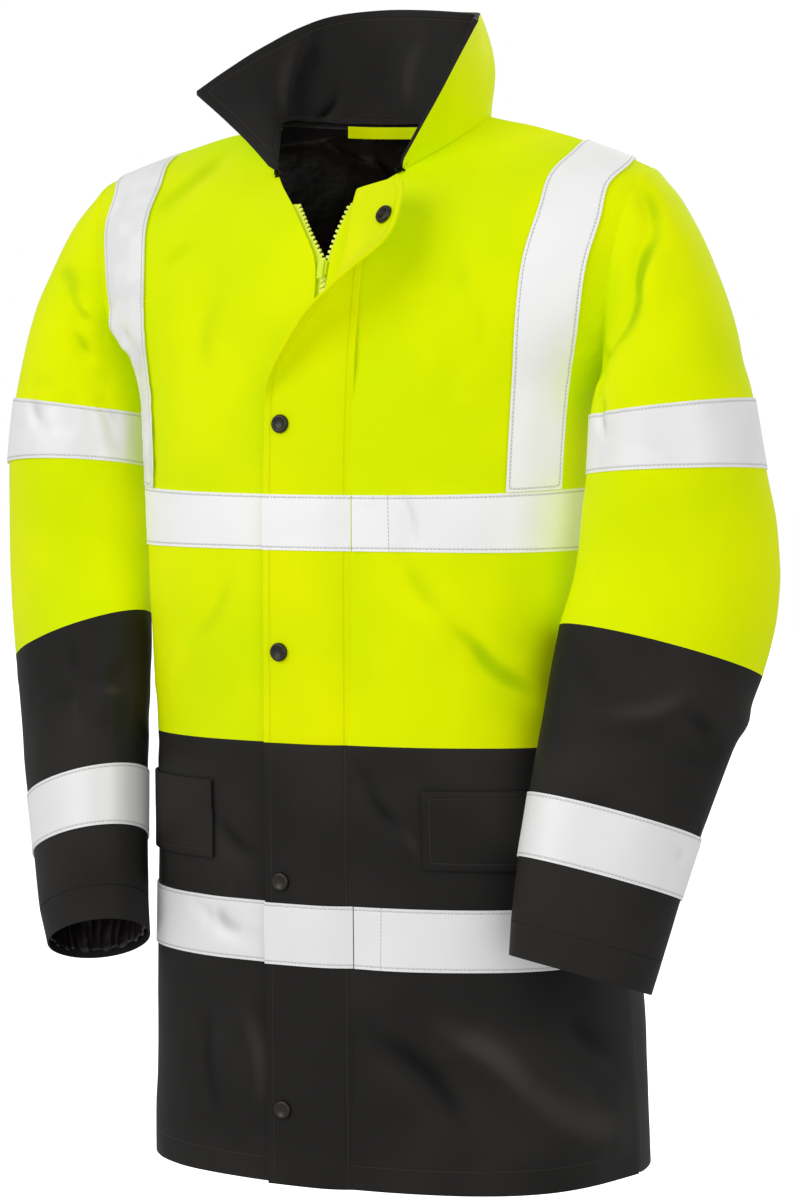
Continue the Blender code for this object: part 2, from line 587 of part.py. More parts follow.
class Body:
    """The outer surface of the body: grids of points and outward directions."""

    front_levels = LOWER_LEVELS + UPPER_LEVELS[1:] + FRONT_TOP_LEVELS
    back_levels = LOWER_LEVELS + UPPER_LEVELS[1:] + BACK_TOP_LEVELS
    split = len(LOWER_LEVELS) - 1
    armpit = split + len(UPPER_LEVELS) - 1

    def __init__(self):
        self.front = {side: front_body(side, self.front_levels) for side in (RIGHT, LEFT)}
        self.back = {side: back_body(side, self.back_levels) for side in (RIGHT, LEFT)}
        neck = self.back_levels.index(NECK_BACK)
        for side in (RIGHT, LEFT):
            sewn = slice(0, self.armpit + 1)
            front, back = self.front[side][0], self.back[side][0]
            front[sewn, -1] = back[sewn, -1] = (front[sewn, -1] + back[sewn, -1]) / 2
            front, back = self.front[side][1], self.back[side][1]
            front[sewn, -1] = back[sewn, -1] = unit(front[sewn, -1] + back[sewn, -1])
            front[-1] = back[-1] = unit(front[-1] + back[-1])
            back[:neck + 1, 0, 0] = 0
            back[:neck + 1, 0] = unit(back[:neck + 1, 0])

    def row(self, level, front=True):
        return (self.front_levels if front else self.back_levels).index(level)

    def armhole(self, side):
        """Points and outward directions round an armhole, from the armpit by the front."""
        up, down = self.front[side], self.back[side]
        points = np.concatenate([up[0][self.armpit:, -1], down[0][self.armpit + 1:-1, -1][::-1]])
        outs = np.concatenate([up[1][self.armpit:, -1], down[1][self.armpit + 1:-1, -1][::-1]])
        return points, outs

    def neckline(self):
        """The same along the neck seam, from the wearer's right front to the left."""
        start = self.row(COLLAR_START)
        neck = self.back_levels.index(NECK_BACK)
        halves = []
        for side in (RIGHT, LEFT):
            front, back = self.front[side], self.back[side]
            halves.append([np.concatenate([front[k][start:, 0], back[k][neck:-1, 0][::-1]])
                           for k in (0, 1)])
        return [np.concatenate([halves[0][k], halves[1][k][-2::-1]]) for k in (0, 1)]


def off_edge(points, outs, centre, ring):
    """Directions along the cloth that lead off its edge, towards an opening's centre."""
    if ring:
        along = np.roll(points, -1, axis=0) - np.roll(points, 1, axis=0)
    else:
        along = np.gradient(points, axis=0)
    off = unit(np.cross(along, outs))
    return off * np.sign((off * (centre - points)).sum(axis=1))[:, None]


def make_fronts(body):
    for side in (RIGHT, LEFT):
        grid, out = body.front[side]
        name = "front_" + SIDE_NAMES[side]
        sewn = grid.copy()
        sewn[:body.armpit + 1] = trimmed(grid[:body.armpit + 1], last_column=SEAM / 2)
        lower = trimmed(sewn[:body.split + 1], last_row=SEAM / 2)
        upper = trimmed(sewn[body.split:], first_row=SEAM / 2, last_row=SEAM / 2)
        wall(name + "_lower", "black_cloth", [(lower, out[:body.split + 1], False)], WALL)
        wall(name + "_upper", "hi_vis_yellow", [(upper, out[body.split:], False)], WALL)


def make_back(body):
    lower, upper, lining = [], [], []
    neck = body.back_levels.index(NECK_BACK)
    tape = HALF_CELLS[0]
    for side in (RIGHT, LEFT):
        grid, out = body.back[side]
        sewn = grid.copy()
        sewn[:body.armpit + 1] = trimmed(grid[:body.armpit + 1], last_column=SEAM / 2)
        lower.append((trimmed(sewn[:body.split + 1], last_row=SEAM / 2),
                      out[:body.split + 1], False))
        upper.append((trimmed(sewn[body.split:], first_row=SEAM / 2, last_row=SEAM / 2),
                      out[body.split:], False))
        inside = grid - out * (WALL + SEAM)
        inside = trimmed(inside[body.armpit:, :tape + 1], last_row=SEAM)
        lining.append((inside, out[body.armpit:, :tape + 1], False))
    wall("back_lower", "black_cloth", lower, WALL)
    wall("back_upper", "hi_vis_yellow", upper, WALL)
    wall("neck_lining", "black_lining", lining, LINING_WALL)


def make_body_tapes(body):
    """The two bands round the body and a band over each shoulder."""
    lift = SKIN + TAPE_WALL
    under = slice(HALF_CELLS[0], HALF_CELLS[0] + HALF_CELLS[1] + 1)
    for name, levels in (("chest_tape", CHEST_TAPE), ("lower_tape", LOWER_TAPE)):
        rows = slice(body.row(levels[0]), body.row(levels[1]) + 1)
        back = []
        for side in (RIGHT, LEFT):
            grid, out = body.front[side]
            first = 1 if side == LEFT else 0
            raised = (grid + out * lift)[rows, first:]
            wall(f"{name}_front_{SIDE_NAMES[side]}", "reflective_tape",
                 [(trimmed(raised, last_column=SEAM / 2), out[rows, first:], False)], TAPE_WALL)
            grid, out = body.back[side]
            raised = (grid + out * lift)[rows]
            back.append((trimmed(raised, last_column=SEAM / 2), out[rows], False))
        wall(name + "_back", "reflective_tape", back, TAPE_WALL)
    for side in (RIGHT, LEFT):
        grid, out = body.front[side]
        rows = slice(body.row(CHEST_TAPE[1]), None)
        front = trimmed((grid + out * lift)[rows, under], first_row=2 * SEAM)
        grid, back_out = body.back[side]
        back_rows = slice(body.row(CHEST_TAPE[1], front=False), None)
        back = trimmed((grid + back_out * lift)[back_rows, under], first_row=2 * SEAM)
        wall("shoulder_tape_" + SIDE_NAMES[side], "reflective_tape",
             [(front, out[rows, under], False), (back, back_out[back_rows, under], False)],
             TAPE_WALL)


def make_pockets(body):
    """A flap over each pocket, on the front's own points and cut to its width."""
    rows = slice(body.row(POCKET_LEVELS[0]), body.row(POCKET_LEVELS[-1]) + 1)
    for side in (RIGHT, LEFT):
        grid, out = (values[rows] for values in body.front[side])
        points, outs = [], []
        for i, level in enumerate(POCKET_LEVELS):
            start = read_straight(EDGE_COLUMNS, FRONT_EDGES, level)[SIDE_NAMES[side]]
            columns = columns_at(FRONT_SECTIONS, side, level, start)
            inside = (columns > POCKET_START) & (columns < POCKET_START + POCKET_WIDTH)
            across = [POCKET_START, *columns[inside], POCKET_START + POCKET_WIDTH]
            points.append(read_across(grid[i], columns, across))
            outs.append(unit(read_across(out[i], columns, across)))
        points, outs = np.array(points), np.array(outs)
        wall("pocket_flap_" + SIDE_NAMES[side], "black_cloth",
             [(points + outs * (FLAP_GAP + POCKET_WALL), outs, False)], POCKET_WALL)


# ---------------------------------------------------------------- sleeves


def make_sleeve(body, side):
    name = SIDE_NAMES[side]
    armhole, hole_out = body.armhole(side)
    off = off_edge(armhole, hole_out, armhole.mean(axis=0), True)
    grid = arm_grid(side, armhole)
    out = outward(grid, -side, closed=True)
    out[0] = hole_out
    grid[0] = armhole + off * ARMHOLE_GAP
    levels = ARM_UPPER_LEVELS + ARM_LOWER_LEVELS[1:] + ARM_CUFF_LEVELS[1:]
    row = {level: HEAD_ROWS + i for i, level in enumerate(levels)}

    def tube(part, finish, first, last, start_gap, end_gap):
        rows = slice(first, last + 1)
        cut = trimmed(grid[rows], first_row=start_gap, last_row=end_gap)
        wall(part + "_" + name, finish, [(cut, out[rows], True)], WALL)

    tube("sleeve_upper", "hi_vis_yellow", 0, row[ARM_SPLIT], 0, SEAM / 2)
    tube("sleeve_lower", "black_cloth", row[ARM_SPLIT], row[ARM_CUFF], SEAM / 2, SEAM / 2)
    tube("cuff", "black_cloth", row[ARM_CUFF], row[ARM_END], SEAM / 2, 0)

    for part, levels in (("upper", ARM_TAPE_UPPER), ("lower", ARM_TAPE_LOWER)):
        rows = slice(row[levels[0]], row[levels[1]] + 1)
        raised = grid[rows] + out[rows] * (SKIN + TAPE_WALL)
        wall(f"arm_tape_{part}_{name}", "reflective_tape", [(raised, out[rows], True)],
             TAPE_WALL)

    rows = [row[ARM_CUFF] - 1, row[ARM_CUFF], row[ARM_END]]
    pleats = pleated(trimmed(grid[rows], last_row=CUFF_SETBACK), out[rows])
    wall("cuff_lining_" + name, "black_lining", [(*pleats, True)], LINING_WALL)


def pleated(grid, out):
    """A gathered lining inside a tube: every second column stands away from the wall."""
    rows, columns = grid.shape[:2]
    points = np.empty((rows, 2 * columns, 3))
    outs = np.empty((rows, 2 * columns, 3))
    middle = (grid + np.roll(grid, -1, axis=1)) / 2
    middle_out = unit(out + np.roll(out, -1, axis=1))
    points[:, 0::2] = grid - out * (WALL + SKIN)
    points[:, 1::2] = middle - middle_out * (WALL + SKIN + PLEAT_DEPTH)
    outs[:, 0::2] = out
    outs[:, 1::2] = middle_out
    return points, outs


# ---------------------------------------------------------------- storm flap


def flap_row(fold, sewn, out):
    """Points across the flap's outer face at one level. fold: its row of the table.
    sewn: its points from the seam to where it begins to turn. out: the outward
    direction there."""
    down = min(max(FLAP_CORNER - (FLAP_TOP - fold["level"]), 0.0), FLAP_CORNER)
    free = FLAP_EDGE + fold["roll_x"]
    free -= FLAP_CORNER - math.sqrt(FLAP_CORNER ** 2 - down ** 2)
    ahead = unit(sewn[-1] - sewn[-2])
    out = unit(out - ahead * np.dot(out, ahead))
    points = list(sewn)
    rolled = min(FLAP_ROLL * math.pi, FLAP_ROLLED * free)
    for s in (*np.linspace(0, rolled, 5)[1:], (rolled + free) / 2, free):
        turn = min(s / FLAP_ROLL, math.radians(fold["angle"]))
        rest = s - turn * FLAP_ROLL
        points.append(sewn[-1]
                      + ahead * (FLAP_ROLL * math.sin(turn) + rest * math.cos(turn))
                      + out * (FLAP_ROLL * (1 - math.cos(turn)) + rest * math.sin(turn)))
    return np.array(points)


def flap_grid():
    """The flap's outer face, a row for each of its levels, and its outward directions."""
    folds = [read_straight(FLAP_COLUMNS, FLAP_FOLDS, level) for level in FLAP_LEVELS]
    sewn = []
    for fold in folds:
        across = np.linspace(FLAP_SEAM, fold["roll_x"], 5)
        points = run_along(section(FRONT_SECTIONS, LEFT, fold["level"]), np.abs(across))
        points[:, 0] *= np.sign(across)
        sewn.append(points)
    sewn = np.array(sewn)
    out = outward(sewn, RIGHT)
    lifts = np.interp(sewn[..., 0], (FLAP_LIFT_X, FLAP_SEAM), (FLAP_LIFT, FLAP_GAP))
    sewn = sewn + out * (lifts + FLAP_WALL)[..., None]
    grid = np.array([flap_row(*row) for row in zip(folds, sewn, out[:, -1])])
    return grid, outward(grid, RIGHT)


def make_flap(grid, out):
    split = FLAP_LEVELS.index(SPLIT)
    lower = trimmed(grid[:split + 1], last_row=SEAM / 2)
    upper = trimmed(grid[split:], first_row=SEAM / 2)
    wall("storm_flap_lower", "black_cloth", [(lower, out[:split + 1], False)], FLAP_WALL)
    wall("storm_flap_upper", "hi_vis_yellow", [(upper, out[split:], False)], FLAP_WALL)
    for name, span in (("chest_tape_flap", CHEST_TAPE), ("lower_tape_flap", LOWER_TAPE)):
        rows = slice(FLAP_LEVELS.index(span[0]), FLAP_LEVELS.index(span[1]) + 1)
        wall(name, "reflective_tape",
             [(grid[rows] + out[rows] * (SKIN + TAPE_WALL), out[rows], False)], TAPE_WALL)


def on_flap(grid, out, level, inset):
    """A point of the flap's outer face, a distance in from its free edge, and the
    outward direction there."""
    place = np.interp(level, FLAP_LEVELS, np.arange(len(FLAP_LEVELS)))
    k = int(place)
    row = grid[k] + (grid[k + 1] - grid[k]) * (place - k)
    return row[-1] + unit(row[-2] - row[-1]) * inset, unit(out[k, -1] + out[k + 1, -1])


def make_snaps(flap, flap_out):
    for number, level in enumerate(SNAP_LEVELS, 1):
        point, out = on_flap(flap, flap_out, level, SNAP_INSET)
        cap = bmesh.new()
        bmesh.ops.create_cone(cap, cap_ends=True, segments=16, radius1=SNAP_RADIUS,
                              radius2=SNAP_RADIUS, depth=SNAP_HEIGHT)
        rim = [edge for edge in cap.edges if all(v.co.z > 0 for v in edge.verts)]
        bmesh.ops.bevel(cap, geom=rim, offset=SNAP_HEIGHT * 0.8, segments=2, profile=0.5,
                        affect="EDGES", material=-1)
        mesh = bpy.data.meshes.new(f"snap_{number}")
        cap.to_mesh(mesh)
        cap.free()
        base = point + out * (SNAP_HEIGHT / 2 + SEAM)
        add_object(mesh.name, moved(mesh, frame_at(base, out)), "snap_metal", sharp=30)
    point, out = on_flap(flap, flap_out, SOCKET_LEVEL, SNAP_INSET)
    back = point - out * (FLAP_WALL + SKIN + SOCKET_TUBE)
    bpy.ops.mesh.primitive_torus_add(major_radius=SOCKET_RADIUS, minor_radius=SOCKET_TUBE,
                                     major_segments=20, minor_segments=6)
    ring = bpy.context.active_object
    mesh = ring.data.copy()
    bpy.data.objects.remove(ring)
    add_object("snap_socket", moved(mesh, frame_at(back, -out)), "snap_metal", sharp=30)


# ---------------------------------------------------------------- zip


def make_zip_tapes():
    """The zip's two tapes, sewn behind the edges of the fronts and bared in the V."""
    levels = (LOWER_LEVELS + UPPER_LEVELS[1:]
              + FRONT_TOP_LEVELS[:FRONT_TOP_LEVELS.index(NECK_FRONT) + 1])
    for side in (RIGHT, LEFT):
        edges = [read_straight(EDGE_COLUMNS, FRONT_EDGES, level)[SIDE_NAMES[side]]
                 for level in levels]
        across = [(edge - ZIP_TAPE_SHOWS, edge + ZIP_TAPE_SEWN) for edge in edges]
        grid, out = front_body(side, levels, across)
        grid = trimmed(grid - out * (WALL + SKIN), first_row=ZIP_FOOT, last_row=0)
        wall("zip_tape_" + SIDE_NAMES[side], "hi_vis_yellow", [(grid, out, False)],
             TAPE_WALL)


def rounded_box(name, size, bevel):
    box = bmesh.new()
    bmesh.ops.create_cube(box, size=1)
    bmesh.ops.scale(box, vec=size, verts=box.verts)
    bmesh.ops.bevel(box, geom=box.edges[:], offset=bevel, segments=2, profile=0.5,
                    affect="EDGES", material=-1)
    mesh = bpy.data.meshes.new(name)
    box.to_mesh(mesh)
    box.free()
    return mesh


def make_zip_slider():
    """The slider at the foot of the V, with its pull hanging under the storm flap."""
    low, foot, high = (section(FRONT_SECTIONS, LEFT, ZIP_OPEN + step)[0]
                       for step in (-SLIDER_SIZE[2], -SLIDER_SIZE[2] / 2, 0.0))
    lean = high - low
    place = (Matrix.Translation(Vector(foot))
             @ Matrix.Rotation(-math.atan2(lean[1], lean[2]), 4, "X"))
    slider = rounded_box("zip_slider", SLIDER_SIZE, SLIDER_BEVEL)
    slider.transform(Matrix.Translation((0, -SLIDER_STANDS, 0)))
    add_object("zip_slider", moved(slider, place), "yellow_plastic", sharp=30)
    pull = rounded_box("zip_pull", PULL_SIZE, PULL_BEVEL)
    pull.transform(Matrix.Translation((0, 0, -PULL_SIZE[2] / 2)))
    before = SLIDER_STANDS + SLIDER_SIZE[1] / 2 + SEAM + PULL_SIZE[1] / 2
    hung = add_object("zip_pull", pull, "yellow_plastic", sharp=30)
    hung.matrix_world = place @ Matrix.Translation((0, -before, PULL_SIZE[0]))


# ---------------------------------------------------------------- collar


def collar_grid(body):
    """The collar's outer face, from the neck seam up, and its outward directions."""
    points, outs = body.neckline()
    centre = points.mean(axis=0)
    off = off_edge(points, outs, centre, False)
    shares = np.linspace(0, 1, COLLAR_CELLS + 1)
    reach = shares * length_of(points)
    base = run_along(points + off * 2 * SEAM, reach * length_of(points + off * 2 * SEAM)
                     / length_of(points))
    base_out = unit(read_across(outs, reach_of(points), reach))
    rows = [read(COLLAR_COLUMNS, COLLAR_SECTIONS, share) for share in shares]
    top = np.array([[row["x"], row["y"], row["z"]] for row in rows])
    bow = np.array([row["bow"] for row in rows])
    away = base - centre
    away[:, 2] = 0
    away = unit(away)
    grid = []
    for t in np.linspace(0, 1, COLLAR_RISES + 1):
        swell = (bow * math.sin(math.pi * t))[:, None]
        grid.append(base + (top - base) * t + away * swell)
    grid = np.array(grid)
    out = outward(grid, RIGHT)
    out[0] = unit(unit(base_out + away) + out[0])
    return grid, out


def make_collar(body):
    grid, out = collar_grid(body)
    wall("collar_outer", "hi_vis_yellow", [(grid, out, False)], COLLAR_WALL)
    inside = grid - out * (COLLAR_WALL + SEAM)
    wall("collar_inner", "black_cloth", [(inside, out, False)], COLLAR_WALL)
    inside = inside - out * (COLLAR_WALL + SKIN)
    spots = np.abs(inside[0, :, 0]) < LOOP_REACH
    spots &= inside[0, :, 1] > 0
    seam = inside[0, spots]
    sag = LOOP_SAG * (1 - (seam[:, 0] / LOOP_REACH) ** 2)
    seam = seam + np.stack([0 * sag, -sag, 0 * sag], 1)
    strip = np.array([seam + (0, 0, LOOP_RISE - LOOP_WIDTH), seam + (0, 0, LOOP_RISE)])
    loop_out = np.zeros(strip.shape)
    loop_out[..., 1] = 1
    wall("hang_loop", "hi_vis_yellow", [(strip, loop_out, False)], LOOP_WALL)


# ---------------------------------------------------------------- the coat


def main():
    for old in list(bpy.data.objects):
        bpy.data.objects.remove(old)
    bpy.context.scene.collection.children.link(bpy.data.collections.new(COLLECTION))
    body = Body()
    make_fronts(body)
    make_back(body)
    make_body_tapes(body)
    make_pockets(body)
    for side in (RIGHT, LEFT):
        make_sleeve(body, side)
    flap, flap_out = flap_grid()
    make_flap(flap, flap_out)
    make_snaps(flap, flap_out)
    make_zip_tapes()
    make_zip_slider()
    make_collar(body)


main()
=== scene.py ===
# Looks of the hi-vis work jacket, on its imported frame. Metres, +Z up; the front faces -Y.

import math

import bmesh
import bpy
import numpy as np
from mathutils import Matrix, Vector
from mathutils.kdtree import KDTree


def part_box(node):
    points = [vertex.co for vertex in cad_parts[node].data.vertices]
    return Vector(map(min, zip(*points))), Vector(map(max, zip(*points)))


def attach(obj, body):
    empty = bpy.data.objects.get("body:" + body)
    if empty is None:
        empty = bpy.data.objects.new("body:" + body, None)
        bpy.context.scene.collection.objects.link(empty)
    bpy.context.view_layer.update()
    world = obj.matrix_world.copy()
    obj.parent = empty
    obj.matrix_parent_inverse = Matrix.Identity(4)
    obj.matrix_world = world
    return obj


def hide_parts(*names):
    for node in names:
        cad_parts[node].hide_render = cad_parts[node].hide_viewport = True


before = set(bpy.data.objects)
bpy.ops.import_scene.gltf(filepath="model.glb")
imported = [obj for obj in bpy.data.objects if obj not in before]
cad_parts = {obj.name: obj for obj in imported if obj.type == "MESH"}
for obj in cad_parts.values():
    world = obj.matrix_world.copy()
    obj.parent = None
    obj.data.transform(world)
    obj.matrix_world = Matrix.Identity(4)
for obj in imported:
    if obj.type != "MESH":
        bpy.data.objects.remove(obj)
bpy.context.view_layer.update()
print("stage: frame loaded")

fullFoldShade = 1.3  # the painted fold shade at which a trough gets its full painted shade, and a ridge its full painted highlight


class Value:
    # A shader socket that adds, multiplies and compares like a number.

    def __init__(self, graph, socket):
        self.graph = graph
        self.socket = socket

    def __add__(self, other):
        return self.graph.maths("ADD", self, other)

    def __sub__(self, other):
        return self.graph.maths("SUBTRACT", self, other)

    def __rsub__(self, other):
        return self.graph.maths("SUBTRACT", other, self)

    def __mul__(self, other):
        return self.graph.maths("MULTIPLY", self, other)

    def __truediv__(self, other):
        return self.graph.maths("DIVIDE", self, other)

    def __lt__(self, other):
        return self.graph.maths("LESS_THAN", self, other)

    def away(self, other):
        # How far it is from another value.
        return self.graph.maths("ABSOLUTE", self - other)

    def fraction(self):
        return self.graph.maths("FRACT", self)

    def within(self, low, high):
        # 0 at low, 1 at high, eased in between.
        mapped = self.graph.add("ShaderNodeMapRange",
                                {"interpolation_type": "SMOOTHSTEP"},
                                {"Value": self, "From Min": low, "From Max": high})
        return Value(self.graph, mapped.outputs["Result"])


class Graph:
    # The nodes of one material. constants: what is set on its Principled shader.

    def __init__(self, name, constants):
        self.material = bpy.data.materials.new(name)
        self.material.use_nodes = True
        self.tree = self.material.node_tree
        self.shader = self.tree.nodes["Principled BSDF"]
        for socket, value in constants.items():
            self.feed(socket, value)

    def plug(self, socket, value):
        if isinstance(value, Value):
            value = value.socket
        if isinstance(value, bpy.types.NodeSocket):
            self.tree.links.new(value, socket)
        else:
            socket.default_value = value

    def feed(self, socket, value):
        # A value or link for the Principled shader.
        self.plug(self.shader.inputs[socket], value)

    def add(self, kind, settings=(), sockets=()):
        # One node of a kind, with its settings, and values or links for its sockets.
        made = self.tree.nodes.new(kind)
        for name, value in dict(settings).items():
            setattr(made, name, value)
        for name, value in dict(sockets).items():
            self.plug(made.inputs[name], value)
        return made

    def maths(self, operation, first, second=0.0):
        made = self.add("ShaderNodeMath", {"operation": operation}, {0: first, 1: second})
        return Value(self, made.outputs[0])

    def mix(self, factor, first, second):
        # From the first colour to the second as the factor goes from 0 to 1.
        # 6 and 7 are the node's colour inputs, and 2 is its colour output.
        made = self.add("ShaderNodeMix", {"data_type": "RGBA"},
                        {"Factor": factor, 6: first, 7: second})
        return made.outputs[2]

    def noise(self, scale, detail=2.0):
        made = self.add("ShaderNodeTexNoise", (),
                        {"Vector": self.place(), "Scale": scale, "Detail": detail})
        return Value(self, made.outputs[0])

    def place(self):
        return self.add("ShaderNodeTexCoord").outputs["Object"]

    def parts(self, vector):
        split = self.add("ShaderNodeSeparateXYZ", (), {0: vector})
        return [Value(self, output) for output in split.outputs]

    def sewing(self):
        # Distances along the nearest edge of the cloth, and in from it, in metres.
        mapped = self.add("ShaderNodeUVMap", {"uv_map": "sewing"})
        return self.parts(mapped.outputs[0])[:2]

    def relief(self):
        # The painted fold shade: from about -1, full painted shade at the bottom of the
        # troughs, to 1, full painted highlight on the ridges.
        read = self.add("ShaderNodeAttribute", {"attribute_name": "relief"})
        return Value(self, read.outputs["Fac"])

    def shaded(self, color, hollow, ridge, side=1):
        # The cloth's colour, with painted shade in its troughs and a painted highlight on its
        # ridges.
        # side: -1 for the inside of a sheet, where they change places.
        relief = self.relief() * side
        color = self.mix((0 - relief).within(0.0, fullFoldShade), color, hollow)
        return self.mix(relief.within(0.0, fullFoldShade), color, ridge)

    def bump(self, height, strength, distance):
        made = self.add("ShaderNodeBump", (), {"Height": height, "Strength": strength,
                                                "Distance": distance})
        self.feed("Normal", made.outputs[0])

    def finish(self, color):
        self.feed("Base Color", color)
        return self.material


thread = {"pitch": 0.0032, "stitch": 0.74, "halfWidth": 0.00042, "dip": 0.0011}


def stitchMask(along, inward, row):
    # 1 on the stitches of a row sewn at a distance in from the edge.
    line = inward.away(row) < thread["halfWidth"]
    return line * ((along / thread["pitch"]).fraction() < thread["stitch"])


def dipMask(inward, row):
    # 1 where the thread pulls the cloth in, fading to 0 at both sides.
    return 1 - inward.away(row).within(thread["halfWidth"], thread["dip"])


yellowCloth = {"color": (0.75, 0.855, 0.0, 1), "shade": (0.655, 0.815, 0.0, 1),
               "hollow": (0.41, 0.61, 0.0, 1), "ridge": (0.80, 0.90, 0.0, 1),
               "threadColor": (0.60, 0.74, 0.0, 1), "glows": True,
               "shader": {"Roughness": 0.66, "Emission Strength": 0.09,
                          "Specular IOR Level": 0.22, "Specular Tint": (0.85, 1, 0.05, 1)}}
blackCloth = {"color": (0.0250, 0.0236, 0.0225, 1), "shade": (0.0175, 0.0165, 0.0157, 1),
              "hollow": (0.0055, 0.0050, 0.0048, 1), "ridge": (0.052, 0.049, 0.046, 1),
              "threadColor": (0.034, 0.032, 0.030, 1), "glows": False,
              "shader": {"Roughness": 0.55, "Specular IOR Level": 0.07}}
grain = {"patches": 9.0, "patchEdge": (0.35, 0.65), "weave": 900.0, "weaveHeight": 0.25,
         "nap": 60.0, "napHeight": 0.5, "sewnIn": 1.5, "strength": 0.5, "distance": 0.0006}


def makeCloth(name, look, rows=(), hemLevel=None, warm=1.0, side=1):
    # Coated polyester, with rows of stitches at distances in from its edges, painted shade in
    # its fold troughs and a painted highlight on its ridges.
    # hemLevel: the height of a row round the hem. warm: how much more red it has.
    # side: -1 for the inside of a sheet.
    graph = Graph(name, look["shader"])
    tones = [(look[key][0] * warm,) + look[key][1:] for key in ("shade", "color")]
    color = graph.mix(graph.noise(grain["patches"]).within(*grain["patchEdge"]), *tones)
    color = graph.shaded(color, look["hollow"], look["ridge"], side)
    height = graph.noise(grain["weave"], 1.0) * grain["weaveHeight"]
    height = height + graph.noise(grain["nap"]) * grain["napHeight"]
    along, inward = graph.sewing()
    sewn = [(inward, row) for row in rows]
    if hemLevel:
        sewn.append((graph.parts(graph.place())[2], hemLevel))
    for distance, row in sewn:
        color = graph.mix(stitchMask(along, distance, row), color, look["threadColor"])
        height = height - dipMask(distance, row) * grain["sewnIn"]
    # The yellow glows faintly: a painted glow that brightens it and flattens its shading.
    if look["glows"]:
        graph.feed("Emission Color", color)
    graph.bump(height, grain["strength"], grain["distance"])
    return graph.finish(color)


reflectiveTape = {"color": (0.87, 0.87, 0.87, 1), "facet": (0.60, 0.61, 0.62, 1),
                  "hollow": (0.48, 0.49, 0.50, 1), "threadColor": (0.50, 0.51, 0.48, 1),
                  "facets": 30.0, "facetEdge": (0.45, 0.62), "facetShade": 0.5,
                  "facetMiddle": 0.5, "facetHeight": 6.0, "row": 0.0026,
                  "sewnShade": 0.22, "sewnIn": 1.2, "strength": 0.35, "distance": 0.0010,
                  "shader": {"Roughness": 0.45, "Specular IOR Level": 0.35,
                             "Metallic": 0.10, "Emission Strength": 0.10}}


def makeTape(name, tone=1.0, join=None, crinkled=0.10):
    # Silver reflective tape, faintly crinkled, with a row of stitches by its edges. Its
    # crinkle facets, fold troughs and the dip along its stitch rows get painted shade, and it
    # has a faint painted glow for its reflective brightness. tone: the painted shade of a
    # copy that
    # catches less light. join: where a second length is sewn on, across the front.
    look = reflectiveTape
    graph = Graph(name, look["shader"])
    flatTape = tuple(part * tone for part in look["color"][:3]) + (1,)
    facets = graph.noise(look["facets"], 1.0)
    shade = facets.within(*look["facetEdge"]) * (crinkled * look["facetShade"])
    # painted shade on the crinkle facets, greyer where the tape is more crinkled
    color = graph.mix(shade, flatTape, look["facet"])
    color = graph.shaded(color, look["hollow"], flatTape)
    along, inward = graph.sewing()
    if join:
        across, level = graph.parts(graph.place())[::2]
        color = graph.mix(stitchMask(level, across, join), color, look["threadColor"])
    dip = dipMask(inward, look["row"])
    # painted shade in the dip along each stitch row
    color = graph.mix(dip * look["sewnShade"], color, look["threadColor"])
    color = graph.mix(stitchMask(along, inward, look["row"]), color, look["threadColor"])
    # a faint painted glow, for the tape's reflective brightness
    graph.feed("Emission Color", color)
    crinkles = facets.away(look["facetMiddle"]) * (crinkled * look["facetHeight"])
    graph.bump(crinkles - dip * look["sewnIn"], look["strength"], look["distance"])
    return graph.finish(color)


satinLining = {"shade": (0.006, 0.004, 0.004, 1), "color": (0.014, 0.009, 0.008, 1),
               "hollow": (0.002, 0.0015, 0.0015, 1), "ridge": (0.030, 0.021, 0.018, 1),
               "patches": 14.0, "patchEdge": (0.3, 0.7), "wrinkles": 24.0,
               "wrinkleDetail": 3.0, "strength": 0.7, "distance": 0.005,
               "shader": {"Roughness": 0.36, "Specular IOR Level": 0.4}}


def makeLining():
    # Smooth satin lining, brown-black, with soft wrinkles, painted shade in its fold troughs
    # and a painted highlight on its ridges.
    look = satinLining
    graph = Graph("blackLining", look["shader"])
    patches = graph.noise(look["patches"]).within(*look["patchEdge"])
    color = graph.mix(patches, look["shade"], look["color"])
    color = graph.shaded(color, look["hollow"], look["ridge"], -1)
    wrinkles = graph.noise(look["wrinkles"], look["wrinkleDetail"])
    graph.bump(wrinkles, look["strength"], look["distance"])
    return graph.finish(color)


wear = {"scale": 80.0, "depth": 0.1}


def makePlain(name, color, roughness, metallic=0.0, glow=0.0):
    # A moulded or metal piece with faint wear in its roughness.
    graph = Graph(name, {"Metallic": metallic, "Emission Strength": glow,
                         "Emission Color": color})
    graph.feed("Roughness", graph.noise(wear["scale"]) * wear["depth"]
               + (roughness - wear["depth"] / 2))
    return graph.finish(color)


edgeRow = 0.006   # from an edge of cloth to its row of stitches
collarRow = 0.007
hemDepth = 0.020  # from the bottom of the coat to the row round its hem

